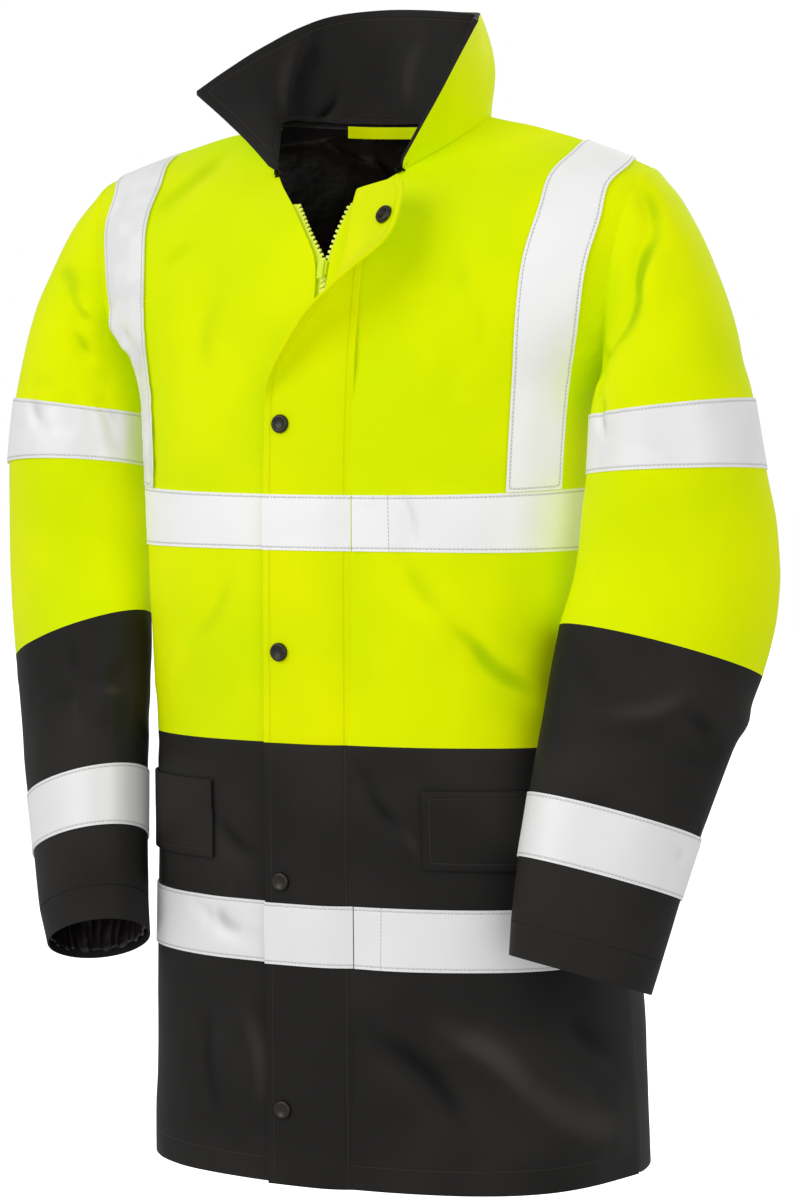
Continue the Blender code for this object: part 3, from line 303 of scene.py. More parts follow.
materials = {
    "yellow": makeCloth("yellowCloth", yellowCloth),
    "yellowEdged": makeCloth("yellowEdged", yellowCloth, rows=(edgeRow,), warm=1.06),
    "black": makeCloth("blackCloth", blackCloth),
    "blackEdged": makeCloth("blackEdged", blackCloth, rows=(edgeRow,)),
    "blackHem": makeCloth("blackHem", blackCloth,
                          hemLevel=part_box("front_left_lower")[0].z + hemDepth),
    "tape": makeTape("reflectiveTape"),
    "tapeJoined": makeTape("tapeJoined", join=0.069),
    # Copies of the tape on bands that catch less light are darkened: painted shade.
    "tapeCrumpledShaded": makeTape("tapeCrumpledShaded", tone=0.93, crinkled=0.55),
    "tapeArm": makeTape("tapeArm", tone=0.92, crinkled=0.25),
    "tapeLow": makeTape("tapeLow", tone=0.91),
    "tapeLowShadedJoined": makeTape("tapeLowShadedJoined", tone=0.91, join=0.0615),
    "collarInside": makeCloth("collarInside", blackCloth, rows=(collarRow,), side=-1),
    "lining": makeLining(),
    "snap": makePlain("snapMetal", (0.045, 0.042, 0.034, 1), roughness=0.34, metallic=0.85),
    # The yellow plastic glows faintly: a painted glow that brightens it.
    "teeth": makePlain("yellowPlastic", (0.82, 0.90, 0.12, 1), roughness=0.40, glow=0.10),
    "zip": makePlain("yellowSlider", (0.68, 0.82, 0.0, 1), roughness=0.50, glow=0.06),
}
print("stage: materials made")

sides = ("left", "right")
sheets = {"merge": 0.00001, "edgeAngle": math.radians(45), "sharpAngle": math.radians(50),
          "roundAngle": math.radians(60), "axisY": -0.02, "mostOfCut": 0.99}


def nodeMesh(node):
    # A copy of a CAD node's mesh with its loose triangles joined.
    mesh = bmesh.new()
    mesh.from_mesh(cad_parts[node].data)
    bmesh.ops.remove_doubles(mesh, verts=mesh.verts, dist=sheets["merge"])
    return mesh


def makeQuads(mesh):
    bmesh.ops.join_triangles(mesh, faces=mesh.faces[:], angle_face_threshold=math.pi,
                             angle_shape_threshold=math.pi)


def regionsOf(mesh, edgeAngle):
    # The faces of a closed wall, in groups parted by its sharp edges, largest first.
    sharp = {edge for edge in mesh.edges if edge.calc_face_angle(0) > edgeAngle}
    left = set(mesh.faces)
    regions = []
    while left:
        region = [left.pop()]
        for face in region:
            near = {other for edge in face.edges if edge not in sharp
                    for other in edge.link_faces} & left
            left -= near
            region.extend(sorted(near, key=lambda other: other.index))
        regions.append(region)
    return sorted(regions, key=lambda region: -sum(face.calc_area() for face in region))


def outerSheet(node, around, edgeAngle):
    # The outer face of a node's wall, as quads. around: "body", or "arm" for a tube.
    mesh = nodeMesh(node)
    mesh.faces.index_update()
    low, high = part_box(node)

    def facing(region):
        # How much of a region turns away from the middle of the body or the tube.
        total = 0.0
        for face in region:
            middle = face.calc_center_median()
            centre = (low + high) / 2
            if around == "body":
                centre = Vector((0, sheets["axisY"], middle.z))
            total += face.calc_area() * face.normal.dot(middle - centre)
        return total

    kept = set(max(regionsOf(mesh, edgeAngle)[:2], key=facing))
    bmesh.ops.delete(mesh, geom=[face for face in mesh.faces if face not in kept],
                     context="FACES")
    makeQuads(mesh)
    return mesh


def addPiece(name, mesh):
    # An object of a finished bmesh.
    data = bpy.data.meshes.new(name)
    mesh.to_mesh(data)
    mesh.free()
    piece = bpy.data.objects.new(name, data)
    bpy.context.scene.collection.objects.link(piece)
    return piece


def settle(piece):
    # Applies a piece's modifiers.
    depsgraph = bpy.context.evaluated_depsgraph_get()
    mesh = bpy.data.meshes.new_from_object(piece.evaluated_get(depsgraph))
    piece.modifiers.clear()
    piece.data = mesh


def smoothed(name, mesh, levels):
    # An object of a quad sheet, divided into a smooth, finer one.
    piece = addPiece(name, mesh)
    divide = piece.modifiers.new("divide", "SUBSURF")
    divide.levels = divide.render_levels = levels
    divide.boundary_smooth = "PRESERVE_CORNERS"
    settle(piece)
    return piece


def dress(piece, nodes=()):
    # Hides the nodes of the coat that a piece stands for, and hangs the piece on the coat.
    if nodes:
        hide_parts(*nodes)
    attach(piece, "coat")


def readVectors(data, name):
    # A mesh's points with the name "co", or its normals with "normal".
    values = np.empty(len(data.vertices) * 3)
    data.vertices.foreach_get(name, values)
    return values.reshape(-1, 3)


def edgeRuns(data):
    # The open edges of a sheet as chains of vertex numbers.
    faces = np.zeros(len(data.edges), int)
    for polygon in data.polygons:
        for loop in polygon.loop_indices:
            faces[data.loops[loop].edge_index] += 1
    nextTo = {}
    for edge in data.edges:
        if faces[edge.index] == 1:
            a, b = edge.vertices
            nextTo.setdefault(a, []).append(b)
            nextTo.setdefault(b, []).append(a)
    runs, seen = [], set()
    for start in nextTo:
        if start in seen:
            continue
        run = [start]
        seen.add(start)
        while True:
            ahead = [n for n in nextTo[run[-1]] if n not in seen]
            if not ahead:
                break
            run.append(ahead[0])
            seen.add(ahead[0])
        runs.append(run + [start])
    return runs


def treeOf(spots):
    tree = KDTree(len(spots))
    for i, spot in enumerate(spots):
        tree.insert(spot, i)
    tree.balance()
    return tree


def reachOf(line):
    # How far each point of a line lies from its start, along it.
    steps = np.linalg.norm(np.diff(line, axis=0), axis=1)
    return np.concatenate([[0], np.cumsum(steps)])


def pointsAt(line, reach, at):
    return np.stack([np.interp(at, reach, line[:, i]) for i in range(3)], -1)


def evenly(line, step):
    # Points along a line, a step apart, and their distances from its start.
    reach = reachOf(line)
    at = np.linspace(0, reach[-1], max(int(reach[-1] / step), 2))
    return pointsAt(line, reach, at), at


# alongAxis: an edge that runs this much along the unsewn axis has no row of stitches.
# fade: how far in from an edge the cloth follows it. ease: the share of the reach over
# which the pull on an edge grows.
seams = {"spots": [], "step": 0.0015, "alongAxis": 0.8, "fade": 0.016, "ease": 0.35}


def measureEdges(data, unsewn):
    # A UV map of each corner's distances along the nearest open edge and in from it.
    # unsewn: the axis along which the edges have no row of stitches.
    points = readVectors(data, "co")
    spots, places = [], []
    for run in edgeRuns(data):
        line, at = evenly(points[run], seams["step"])
        if unsewn is not None:
            ahead = np.gradient(line, axis=0)
            limit = seams["alongAxis"] * np.linalg.norm(ahead, axis=1)
            kept = np.abs(ahead[:, unsewn]) < limit
            line, at = line[kept], at[kept]
        spots.append(line)
        places.append(at)
    places = np.concatenate(places)
    tree = treeOf(np.concatenate(spots))
    measured = np.empty((len(points), 2))
    for i, point in enumerate(points):
        spot, index, distance = tree.find(point)
        measured[i] = places[index], distance
    corners = np.empty(len(data.loops), int)
    data.loops.foreach_get("vertex_index", corners)
    layer = data.uv_layers.new(name="sewing")
    layer.data.foreach_set("uv", measured[corners].ravel())


unevenness = {"seed": 7, "cells": 16}
lattice = np.random.default_rng(unevenness["seed"]).uniform(
    -1, 1, (unevenness["cells"],) * 3)


def rumple(points, size):
    # Smooth uneven heights from -1 to 1, with bumps about one size apart.
    scaled = points / size
    cell = np.floor(scaled).astype(int)
    part = scaled - cell
    part = part * part * (3 - 2 * part)
    total = np.zeros(len(points))
    for corner in np.ndindex(2, 2, 2):
        weight = np.prod(np.where(corner, part, 1 - part), axis=1)
        total += weight * lattice[tuple(((cell + corner) % unevenness["cells"]).T)]
    return total


# Creases as soft troughs and ridges: from one place to another, how wide, and how high.
creaseColumns = ("start", "end", "width", "height")
bodyCreases = (
    # wearer's right of the chest, drawn towards the shoulder tape
    ((-0.170, -0.119, -0.078), (-0.130, -0.068, -0.024), 0.012, -0.0020),
    ((-0.150, -0.141, -0.128), (-0.121, -0.138, -0.106), 0.010, -0.0013),
    ((-0.100, -0.148, -0.140), (-0.110, -0.155, -0.210), 0.016, -0.0012),
    # wearer's left of the chest, hanging from the neck
    ((0.114, -0.143, -0.122), (0.126, -0.152, -0.217), 0.012, -0.0014),
    ((0.134, -0.142, -0.122), (0.132, -0.151, -0.230), 0.011, 0.0014),
    ((0.086, -0.150, -0.150), (0.080, -0.158, -0.240), 0.014, 0.0011),
    # below the chest tape, falling to the side
    ((0.078, -0.163, -0.361), (0.170, -0.126, -0.463), 0.011, -0.0024),
    ((0.087, -0.163, -0.396), (0.115, -0.156, -0.435), 0.010, 0.0016),
    ((0.111, -0.159, -0.372), (0.178, -0.118, -0.450), 0.010, 0.0018),
    ((0.119, -0.156, -0.412), (0.144, -0.144, -0.451), 0.008, -0.0014),
    ((0.134, -0.151, -0.419), (0.173, -0.123, -0.467), 0.009, -0.0016),
    ((-0.080, -0.164, -0.370), (-0.140, -0.147, -0.440), 0.012, -0.0018),
    ((-0.100, -0.163, -0.420), (-0.150, -0.140, -0.460), 0.010, 0.0014),
    # a crease through the chest tape
    ((0.074, -0.164, -0.298), (0.088, -0.163, -0.350), 0.006, -0.0012),
    # by the pockets
    ((0.039, -0.166, -0.525), (0.084, -0.156, -0.576), 0.009, -0.0022),
    ((0.047, -0.163, -0.541), (0.088, -0.155, -0.599), 0.008, 0.0017),
    ((-0.094, -0.157, -0.573), (-0.054, -0.163, -0.603), 0.009, -0.0016),
    # the skirt
    ((0.113, -0.152, -0.739), (0.168, -0.120, -0.788), 0.015, 0.0028),
    ((0.168, -0.120, -0.788), (0.209, -0.033, -0.832), 0.017, 0.0022),
    ((0.046, -0.162, -0.743), (0.118, -0.145, -0.812), 0.015, -0.0024),
    ((0.190, -0.091, -0.726), (0.208, -0.033, -0.766), 0.012, -0.0020),
    ((0.188, -0.097, -0.758), (0.207, -0.040, -0.798), 0.012, -0.0014),
    ((-0.111, -0.146, -0.724), (-0.098, -0.152, -0.822), 0.013, -0.0020),
    ((-0.072, -0.156, -0.728), (-0.056, -0.159, -0.809), 0.013, 0.0017),
    ((-0.112, -0.152, -0.645), (-0.059, -0.162, -0.665), 0.009, -0.0014),
    # the back
    ((-0.150, 0.071, -0.130), (-0.090, 0.106, -0.200), 0.014, -0.0022),
    ((0.140, 0.073, -0.120), (0.100, 0.103, -0.220), 0.013, -0.0024),
    ((-0.050, 0.070, -0.060), (-0.020, 0.108, -0.150), 0.016, 0.0014),
    ((-0.030, 0.121, -0.220), (0.020, 0.127, -0.280), 0.015, -0.0014),
    ((0.030, 0.133, -0.360), (0.140, 0.098, -0.440), 0.012, -0.0026),
    ((-0.160, 0.074, -0.400), (-0.060, 0.141, -0.460), 0.012, -0.0024),
    ((0.150, 0.081, -0.370), (0.090, 0.130, -0.470), 0.011, 0.0018),
    ((0.050, 0.142, -0.520), (0.140, 0.110, -0.580), 0.012, -0.0022),
    ((-0.100, 0.128, -0.530), (-0.020, 0.148, -0.570), 0.011, 0.0016),
    ((-0.160, 0.089, -0.540), (-0.130, 0.116, -0.600), 0.011, -0.0018),
    ((-0.150, 0.115, -0.730), (-0.080, 0.159, -0.790), 0.015, 0.0024),
    ((0.100, 0.148, -0.720), (0.160, 0.114, -0.820), 0.015, -0.0026),
    ((-0.050, 0.162, -0.740), (-0.030, 0.166, -0.820), 0.014, -0.0018),
)
sleeveCreases = (
    # wearer's right sleeve, pulled in towards the armpit
    ((-0.262, -0.116, -0.143), (-0.195, -0.129, -0.180), 0.007, -0.0034),
    ((-0.250, -0.115, -0.152), (-0.188, -0.125, -0.196), 0.008, 0.0028),
    ((-0.255, -0.116, -0.172), (-0.200, -0.127, -0.212), 0.006, -0.0024),
    ((-0.285, -0.108, -0.122), (-0.252, -0.116, -0.147), 0.011, -0.0018),
    ((-0.291, -0.125, -0.230), (-0.272, -0.132, -0.257), 0.007, -0.0014),
    ((-0.231, -0.118, -0.225), (-0.216, -0.109, -0.270), 0.007, -0.0022),
    # its forearm
    ((-0.243, -0.149, -0.439), (-0.188, -0.111, -0.515), 0.010, -0.0026),
    ((-0.211, -0.146, -0.455), (-0.198, -0.151, -0.513), 0.008, 0.0022),
    ((-0.245, -0.153, -0.481), (-0.195, -0.124, -0.448), 0.009, -0.0020),
    # the wearer's left sleeve, behind the seam of the armhole
    ((0.249, -0.082, -0.063), (0.266, -0.101, -0.099), 0.008, -0.0030),
    ((0.266, -0.101, -0.099), (0.259, -0.119, -0.152), 0.008, -0.0034),
    ((0.259, -0.119, -0.152), (0.234, -0.111, -0.190), 0.008, -0.0034),
    ((0.280, -0.108, -0.110), (0.272, -0.124, -0.165), 0.010, 0.0024),
    ((0.219, -0.098, -0.185), (0.226, -0.114, -0.228), 0.007, -0.0028),
    ((0.231, -0.118, -0.228), (0.236, -0.127, -0.256), 0.005, -0.0026),
    ((0.244, -0.112, -0.205), (0.262, -0.126, -0.232), 0.006, 0.0020),
    # its forearm
    ((0.226, -0.154, -0.440), (0.316, -0.107, -0.518), 0.012, -0.0020),
    ((0.307, -0.125, -0.478), (0.321, -0.103, -0.499), 0.009, -0.0020),
    ((0.250, -0.159, -0.477), (0.311, -0.124, -0.462), 0.010, 0.0018),
    ((0.301, -0.131, -0.563), (0.302, -0.113, -0.597), 0.007, -0.0014),
    # behind and outside the elbows
    ((0.250, -0.018, -0.330), (0.310, -0.008, -0.370), 0.011, -0.0028),
    ((0.260, -0.033, -0.450), (0.320, -0.047, -0.490), 0.011, -0.0026),
    ((0.327, -0.050, -0.200), (0.270, -0.006, -0.200), 0.012, -0.0018),
    ((0.335, -0.090, -0.460), (0.322, -0.048, -0.495), 0.010, 0.0020),
    ((-0.250, -0.015, -0.340), (-0.310, -0.007, -0.360), 0.011, -0.0026),
    ((-0.250, -0.033, -0.460), (-0.310, -0.038, -0.500), 0.011, -0.0028),
    ((-0.322, -0.050, -0.190), (-0.270, -0.005, -0.210), 0.012, -0.0020),
    ((-0.327, -0.090, -0.470), (-0.312, -0.040, -0.505), 0.010, 0.0020),
)
collarCreases = (
    ((-0.095, 0.009, 0.078), (-0.089, -0.033, 0.000), 0.014, 0.0036),
    ((-0.086, 0.014, 0.070), (-0.084, -0.018, 0.004), 0.007, -0.0028),
    ((-0.106, -0.004, 0.066), (-0.099, -0.040, 0.006), 0.009, -0.0020),
    ((-0.080, 0.018, 0.071), (-0.068, 0.016, 0.028), 0.005, 0.0024),
    ((-0.080, -0.002, 0.004), (-0.069, 0.014, 0.027), 0.005, 0.0024),
    ((-0.047, 0.027, 0.031), (-0.029, 0.029, 0.014), 0.006, 0.0020),
    ((-0.010, 0.040, 0.075), (-0.020, 0.034, 0.020), 0.009, -0.0018),
    ((0.030, 0.034, 0.060), (0.040, 0.030, 0.020), 0.009, -0.0018),
    ((-0.105, -0.030, 0.050), (-0.096, -0.050, 0.010), 0.009, -0.0020),
)
liningCreases = (
    ((-0.090, 0.015, -0.011), (-0.039, 0.047, -0.034), 0.006, 0.0020),
    ((-0.070, 0.030, -0.020), (-0.010, 0.060, -0.060), 0.007, -0.0020),
    ((-0.050, 0.030, -0.012), (-0.030, 0.070, -0.070), 0.006, 0.0016),
    ((-0.010, 0.045, -0.020), (0.010, 0.075, -0.080), 0.008, -0.0018),
)
creases = bodyCreases + sleeveCreases

# Places where the cloth is crumpled, which also get painted shade and highlight: how far the
# crumpling reaches and how high it is.
crumpleColumns = ("middle", "reach", "size", "height")
crumples = (
    ((-0.190, -0.120, -0.200), 0.045, 0.017, 0.0011),
    ((-0.178, -0.130, -0.270), 0.040, 0.015, 0.0010),
    ((0.222, -0.105, -0.215), 0.030, 0.014, 0.0010),
    ((0.190, -0.060, -0.190), 0.035, 0.016, 0.0010),
    ((-0.215, -0.130, -0.490), 0.040, 0.020, 0.0010),
    ((0.305, -0.110, -0.585), 0.030, 0.016, 0.0008),
    ((-0.270, -0.120, -0.245), 0.035, 0.018, 0.0007),
    ((-0.080, -0.158, -0.650), 0.035, 0.016, 0.0006),
    ((0.290, -0.020, -0.400), 0.050, 0.022, 0.0010),
    ((-0.285, -0.015, -0.400), 0.050, 0.022, 0.0010),
)

# size, height: of the broad unevenness, with a finer one over it. creased: how much more
# than its own height each crease has. deep: the height of a crease that gets its full painted
# shade. bend: how far a crease bows, of its length. ends: where it has tapered off, of its
# length. lit, lean: how its painted shade falls to the middle and to one side, as if lit from
# that side. ridges, crumpled, paintedShadeScale: how sharp and high the crumpling is, and how
# strong its painted shade and highlight are. The shifts keep the layers apart.
easy = {"size": 0.075, "height": 0.0012, "fineSize": 0.024, "fineHeight": 0.00035,
        "fineShift": 5, "creased": 2.0, "deep": 0.0020, "bend": 0.10, "ends": 0.04,
        "lit": 0.45, "lean": 1.1, "crumpleShift": 9, "ridges": 2.4, "crumpled": 1.3,
        "paintedShadeScale": 0.5}


def foldHeights(points, scale, rows):
    # How far the cloth moves outward at each point, and its painted fold shade: below 0 for
    # painted shade in a trough, above 0 for a painted highlight on a ridge.
    total = rumple(points, easy["size"]) * easy["height"]
    total += rumple(points + easy["fineShift"], easy["fineSize"]) * easy["fineHeight"]
    relief = np.zeros(len(points))
    for index, row in enumerate(rows):
        crease = dict(zip(creaseColumns, row))
        start, end = np.array(crease["start"]), np.array(crease["end"])
        run = end - start
        length = np.linalg.norm(run)
        share = np.clip((points - start) @ run / length ** 2, 0, 1)
        side = np.cross(run, (0, 1, 0))
        bow = np.sin(share * math.pi) * easy["bend"] * (1 if index % 2 else -1)
        away = points - start - share[:, None] * run - bow[:, None] * side
        across = np.linalg.norm(away, axis=1)
        slope = away @ side / np.linalg.norm(side) / crease["width"]
        inside = np.clip(share, easy["ends"], 1 - easy["ends"])
        mark = np.sin(np.pi * inside) ** 0.5 * np.exp(-(across / crease["width"]) ** 2)
        total += crease["height"] * easy["creased"] * mark
        # The painted shade of a crease: some along its middle, more on one side, as if lit
        # from that side.
        shade = easy["lit"] + easy["lean"] * slope
        relief += crease["height"] / easy["deep"] * mark * shade
    for row in crumples:
        crumple = dict(zip(crumpleColumns, row))
        far = np.linalg.norm(points - np.array(crumple["middle"]), axis=1)
        bumps = rumple(points + easy["crumpleShift"], crumple["size"])
        mark = (1 - easy["ridges"] * np.abs(bumps)) * np.exp(-(far / crumple["reach"]) ** 2)
        total += crumple["height"] * easy["crumpled"] * mark
        relief += easy["paintedShadeScale"] * mark
    return total * scale, relief * scale


def closeSeams(data, points, meets):
    # Draws the open edges of a sheet onto those of earlier sheets, less and less further in.
    # meets: how near an earlier edge has to be.
    runs = edgeRuns(data)
    edge = np.concatenate([run[:-1] for run in runs])
    moved = points.copy()
    if meets and seams["spots"]:
        tree = treeOf(np.concatenate(seams["spots"]))
        pull = np.zeros((len(edge), 3))
        for i, vertex in enumerate(edge):
            spot, index, far = tree.find(points[vertex])
            share = min(max((meets - far) / (seams["ease"] * meets), 0), 1)
            pull[i] = (np.array(spot) - points[vertex]) * share
        tree = treeOf(points[edge])
        for vertex, point in enumerate(points):
            spot, index, far = tree.find(point)
            if far < seams["fade"]:
                moved[vertex] += pull[index] * (1 - far / seams["fade"]) ** 2
    seams["spots"].extend(evenly(moved[run], seams["step"])[0] for run in runs)
    return moved


def flushBy(points, flush):
    # How far the sewn side of the flap sinks into the front, below its folded top.
    seam = points[points[:, 2] < flush["top"], 0].max()
    side = np.clip((points[:, 0] - seam + flush["width"]) / flush["width"], 0, 1)
    below = np.clip((flush["top"] - points[:, 2]) / flush["width"], 0, 1)
    return flush["depth"] * side ** 2 * below


def turnIn(data, allowance):
    # Gives the seam allowances on the inside the colour of the outside.
    inward = np.empty(len(data.loops) * 2)
    data.uv_layers["sewing"].data.foreach_get("uv", inward)
    inward = inward[1::2]
    for face in data.polygons:
        if inward[face.loop_start:face.loop_start + face.loop_total].min() < allowance:
            face.material_index = 0


def thicken(piece, settings):
    # Gives a sheet its thickness, inwards, and rounds its rim where that shows.
    thick = piece.modifiers.new("thickness", "SOLIDIFY")
    thick.thickness = settings["thickness"]
    thick.offset = -1
    thick.use_quality_normals = True
    thick.material_offset = 1
    thick.material_offset_rim = settings.get("rim", 0)
    if "round" in settings:
        soften = piece.modifiers.new("soften", "BEVEL")
        soften.width = settings["round"]
        soften.segments = 2
        soften.limit_method = "ANGLE"
        soften.angle_limit = sheets["roundAngle"]
    settle(piece)
    piece.data.set_sharp_from_angle(angle=sheets["sharpAngle"])


def cloth(name, nodes, settings):
    # A thin shell on the form of the first node's outer face, in place of the nodes.
    edgeAngle = settings.get("edgeAngle", sheets["edgeAngle"])
    mesh = outerSheet(nodes[0], settings.get("around", "body"), edgeAngle)
    flatArea = sum(face.calc_area() for face in mesh.faces)
    piece = smoothed(name, mesh, settings["levels"])
    measureEdges(piece.data, settings.get("unsewn"))
    points, normals = (readVectors(piece.data, kind) for kind in ("co", "normal"))
    heights, relief = foldHeights(points, settings.get("folds", 1.0),
                                  settings.get("creases", creases))
    heights += settings.get("lift", 0.0)
    if "flush" in settings:
        heights -= flushBy(points, settings["flush"])
    points = points + normals * heights[:, None]
    points = closeSeams(piece.data, points, settings.get("meets", 0))
    # The painted fold shade, which the cloth's colours read.
    mark = piece.data.attributes.new("relief", "FLOAT", "POINT")
    mark.data.foreach_set("value", relief * settings.get("paintedShadeScale", 1.0))
    piece.data.vertices.foreach_set("co", points.ravel())
    for look in (settings["outside"], settings["inside"]):
        piece.data.materials.append(materials[look])
    piece.data.polygons.foreach_set("material_index", [0] * len(piece.data.polygons))
    piece.data.shade_smooth()
    thicken(piece, settings)
    if "allowance" in settings:
        turnIn(piece.data, settings["allowance"])
    dress(piece, nodes)
    width, length = settings["cut"]
    min(flatArea, sheets["mostOfCut"] * width * length)
    return piece


# cut: the flat size. meets: how near an earlier sheet's edge has to be to be sewn to it.
# allowance: how wide the turned-in edge is. round: the radius of its rim. folds: how much
# of the creases it has. paintedShadeScale: how much more painted shade and highlight they
# get.
panel = {"levels": 3, "thickness": 0.0016, "outside": "yellow", "inside": "lining",
         "slot": "hi_vis_yellow", "meets": 0.010, "allowance": 0.008}
lowerPanel = {**panel, "outside": "blackHem", "slot": "black_cloth", "round": 0.0008}
frontUpper = {**panel, "meets": 0.003, "cut": (0.36, 0.52)}
frontLower = {**lowerPanel, "cut": (0.33, 0.37)}
backUpper = {**panel, "cut": (0.60, 0.56)}
backLower = {**lowerPanel, "cut": (0.62, 0.37)}
neckEdge = {"halfWidth": 0.10, "low": -0.04}


def makeBody():
    for side in sides:
        cloth(f"frontUpper_{side}", [f"front_{side}_upper"], frontUpper)
        cloth(f"frontLower_{side}", [f"front_{side}_lower"], frontLower)
    back = cloth("backUpper", ["back_upper"], backUpper)
    for face in back.data.polygons:  # the neck edge is lined where it faces the neck
        toNeck = Vector((-face.center.x, sheets["axisY"] - face.center.y, 0)).normalized()
        if (face.normal.dot(toNeck) > 0 and abs(face.center.x) < neckEdge["halfWidth"]
                and face.center.z > neckEdge["low"]):
            face.material_index = 1
    cloth("backLower", ["back_lower"], backLower)


sleeve = {"levels": 3, "around": "arm", "thickness": 0.0016, "outside": "black",
          "inside": "lining", "slot": "black_cloth", "meets": 0.012, "allowance": 0.008,
          "edgeAngle": math.radians(65)}
sleeveUpper = {**sleeve, "outside": "yellow", "slot": "hi_vis_yellow", "cut": (0.50, 0.42)}
sleeveLower = {**sleeve, "cut": (0.44, 0.23)}
cuffHem = {**sleeve, "round": 0.0010, "cut": (0.36, 0.04)}


def makeSleeves():
    for side in sides:
        cloth(f"sleeveUpper_{side}", [f"sleeve_upper_{side}"], sleeveUpper)
        cloth(f"sleeveLower_{side}", [f"sleeve_lower_{side}"], sleeveLower)
        cloth(f"cuffHem_{side}", [f"cuff_{side}"], cuffHem)


# How the sewn side of the flap, and the tape across it, sinks into the front.
flapFlush = {"width": 0.030, "top": -0.20, "depth": 0.0042}
tape = {"levels": 3, "thickness": 0.0012, "outside": "tape", "inside": "tape",
        "slot": "reflective_tape"}
tapeWidth = 0.052
overRidge = 0.0008  # how far a shoulder tape is lifted over the shoulder's seam
tapeLengths = {"chest_tape_back": 0.60, "chest_tape_flap": 0.08,
               "chest_tape_front_left": 0.26, "chest_tape_front_right": 0.28,
               "lower_tape_back": 0.62, "lower_tape_flap": 0.08,
               "lower_tape_front_left": 0.28, "lower_tape_front_right": 0.32,
               "shoulder_tape_left": 0.68, "shoulder_tape_right": 0.68}
tapeLooks = {"chest_tape_front_left": "tapeJoined", "lower_tape_front_left": "tapeLowShadedJoined",
             "lower_tape_back": "tapeLow", "lower_tape_flap": "tapeLow",
             "lower_tape_front_right": "tapeLow", "shoulder_tape_right": "tapeCrumpledShaded"}
armTapes = {"upper": {"outside": "tapeArm", "cut": (0.055, 0.46)},
            "lower": {"outside": "tapeLow", "cut": (0.055, 0.42)}}


def makeTapes():
    for node, length in tapeLengths.items():
        settings = {**tape, "outside": tapeLooks.get(node, "tape"),
                    "cut": (tapeWidth, length), "unsewn": 2}
        if "flap" in node:
            settings["flush"] = flapFlush
        if "shoulder" in node:
            settings.update(unsewn=0, lift=overRidge)
        first, *others = node.split("_")
        cloth(first + "".join(others).title(), [node], settings)
    for side in sides:
        for part, settings in armTapes.items():
            cloth(f"armTape_{part}_{side}", [f"arm_tape_{part}_{side}"],
                  {**tape, "around": "arm", **settings})


stormFlap = {"levels": 2, "thickness": 0.0022, "unsewn": 0, "flush": flapFlush,
             "folds": 0.3, "round": 0.0005}
stormFlapUpper = {**stormFlap, "outside": "yellowEdged", "inside": "yellowEdged",
                  "slot": "hi_vis_yellow", "cut": (0.10, 0.46)}
stormFlapLower = {**stormFlap, "outside": "blackEdged", "inside": "lining",
                  "slot": "black_cloth", "cut": (0.08, 0.37)}
pocketFlap = {"levels": 3, "thickness": 0.0018, "outside": "blackEdged",
              "inside": "lining", "slot": "black_cloth", "round": 0.0004,
              "cut": (0.17, 0.07)}


def makeFlaps():
    cloth("stormFlapUpper", ["storm_flap_upper"], stormFlapUpper)
    cloth("stormFlapLower", ["storm_flap_lower"], stormFlapLower)
    for side in sides:
        cloth(f"pocketFlap_{side}", [f"pocket_flap_{side}"], pocketFlap)


collar = {"levels": 3, "edgeAngle": math.radians(38), "thickness": 0.0046,
          "outside": "yellow", "inside": "collarInside", "rim": 1, "folds": 0.8,
          "creases": collarCreases, "paintedShadeScale": 2.2, "meets": 0.008,
          "slot": "hi_vis_yellow", "round": 0.0014, "cut": (0.56, 0.11)}
neckLining = {"levels": 3, "thickness": 0.0008, "outside": "lining", "inside": "lining",
              "creases": bodyCreases + liningCreases, "slot": "black_lining",
              "meets": 0.006, "cut": (0.42, 0.25)}
hangLoop = {"levels": 3, "thickness": 0.0012, "outside": "yellow", "inside": "yellow",
            "folds": 0.0, "slot": "hi_vis_yellow", "round": 0.0003, "cut": (0.13, 0.011)}


def makeNeck():
    cloth("collar", ["collar_outer", "collar_inner"], collar)
    cloth("neckLining", ["neck_lining"], neckLining)
    cloth("hangLoop", ["hang_loop"], hangLoop)


# waves: how many gathers go round a cuff. uneven, bumps: how much and how closely they vary.
cuffLining = {"levels": 2, "waves": 15, "height": 0.0012, "uneven": 2, "bumps": 0.03,
              "cut": (0.38, 0.042)}


def makeCuffLinings():
    look = cuffLining
    for side in sides:
        mesh = nodeMesh(f"cuff_lining_{side}")
        makeQuads(mesh)
        piece = smoothed(f"cuffLining_{side}", mesh, look["levels"])
        points, normals = (readVectors(piece.data, kind) for kind in ("co", "normal"))
        middle = (points.min(axis=0) + points.max(axis=0)) / 2
        turn = np.arctan2(points[:, 1] - middle[1], points[:, 0] - middle[0])
        turn = turn * look["waves"] + look["uneven"] * rumple(points, look["bumps"])
        points += normals * np.sin(turn)[:, None] * look["height"]
        piece.data.vertices.foreach_set("co", points.ravel())
        piece.data.materials.append(materials["lining"])
        piece.data.shade_smooth()
        dress(piece, [f"cuff_lining_{side}"])


makeBody()
print("stage: body made")
makeSleeves()
print("stage: sleeves made")
makeTapes()
makeFlaps()
makeNeck()
makeCuffLinings()
print("stage: trim made")


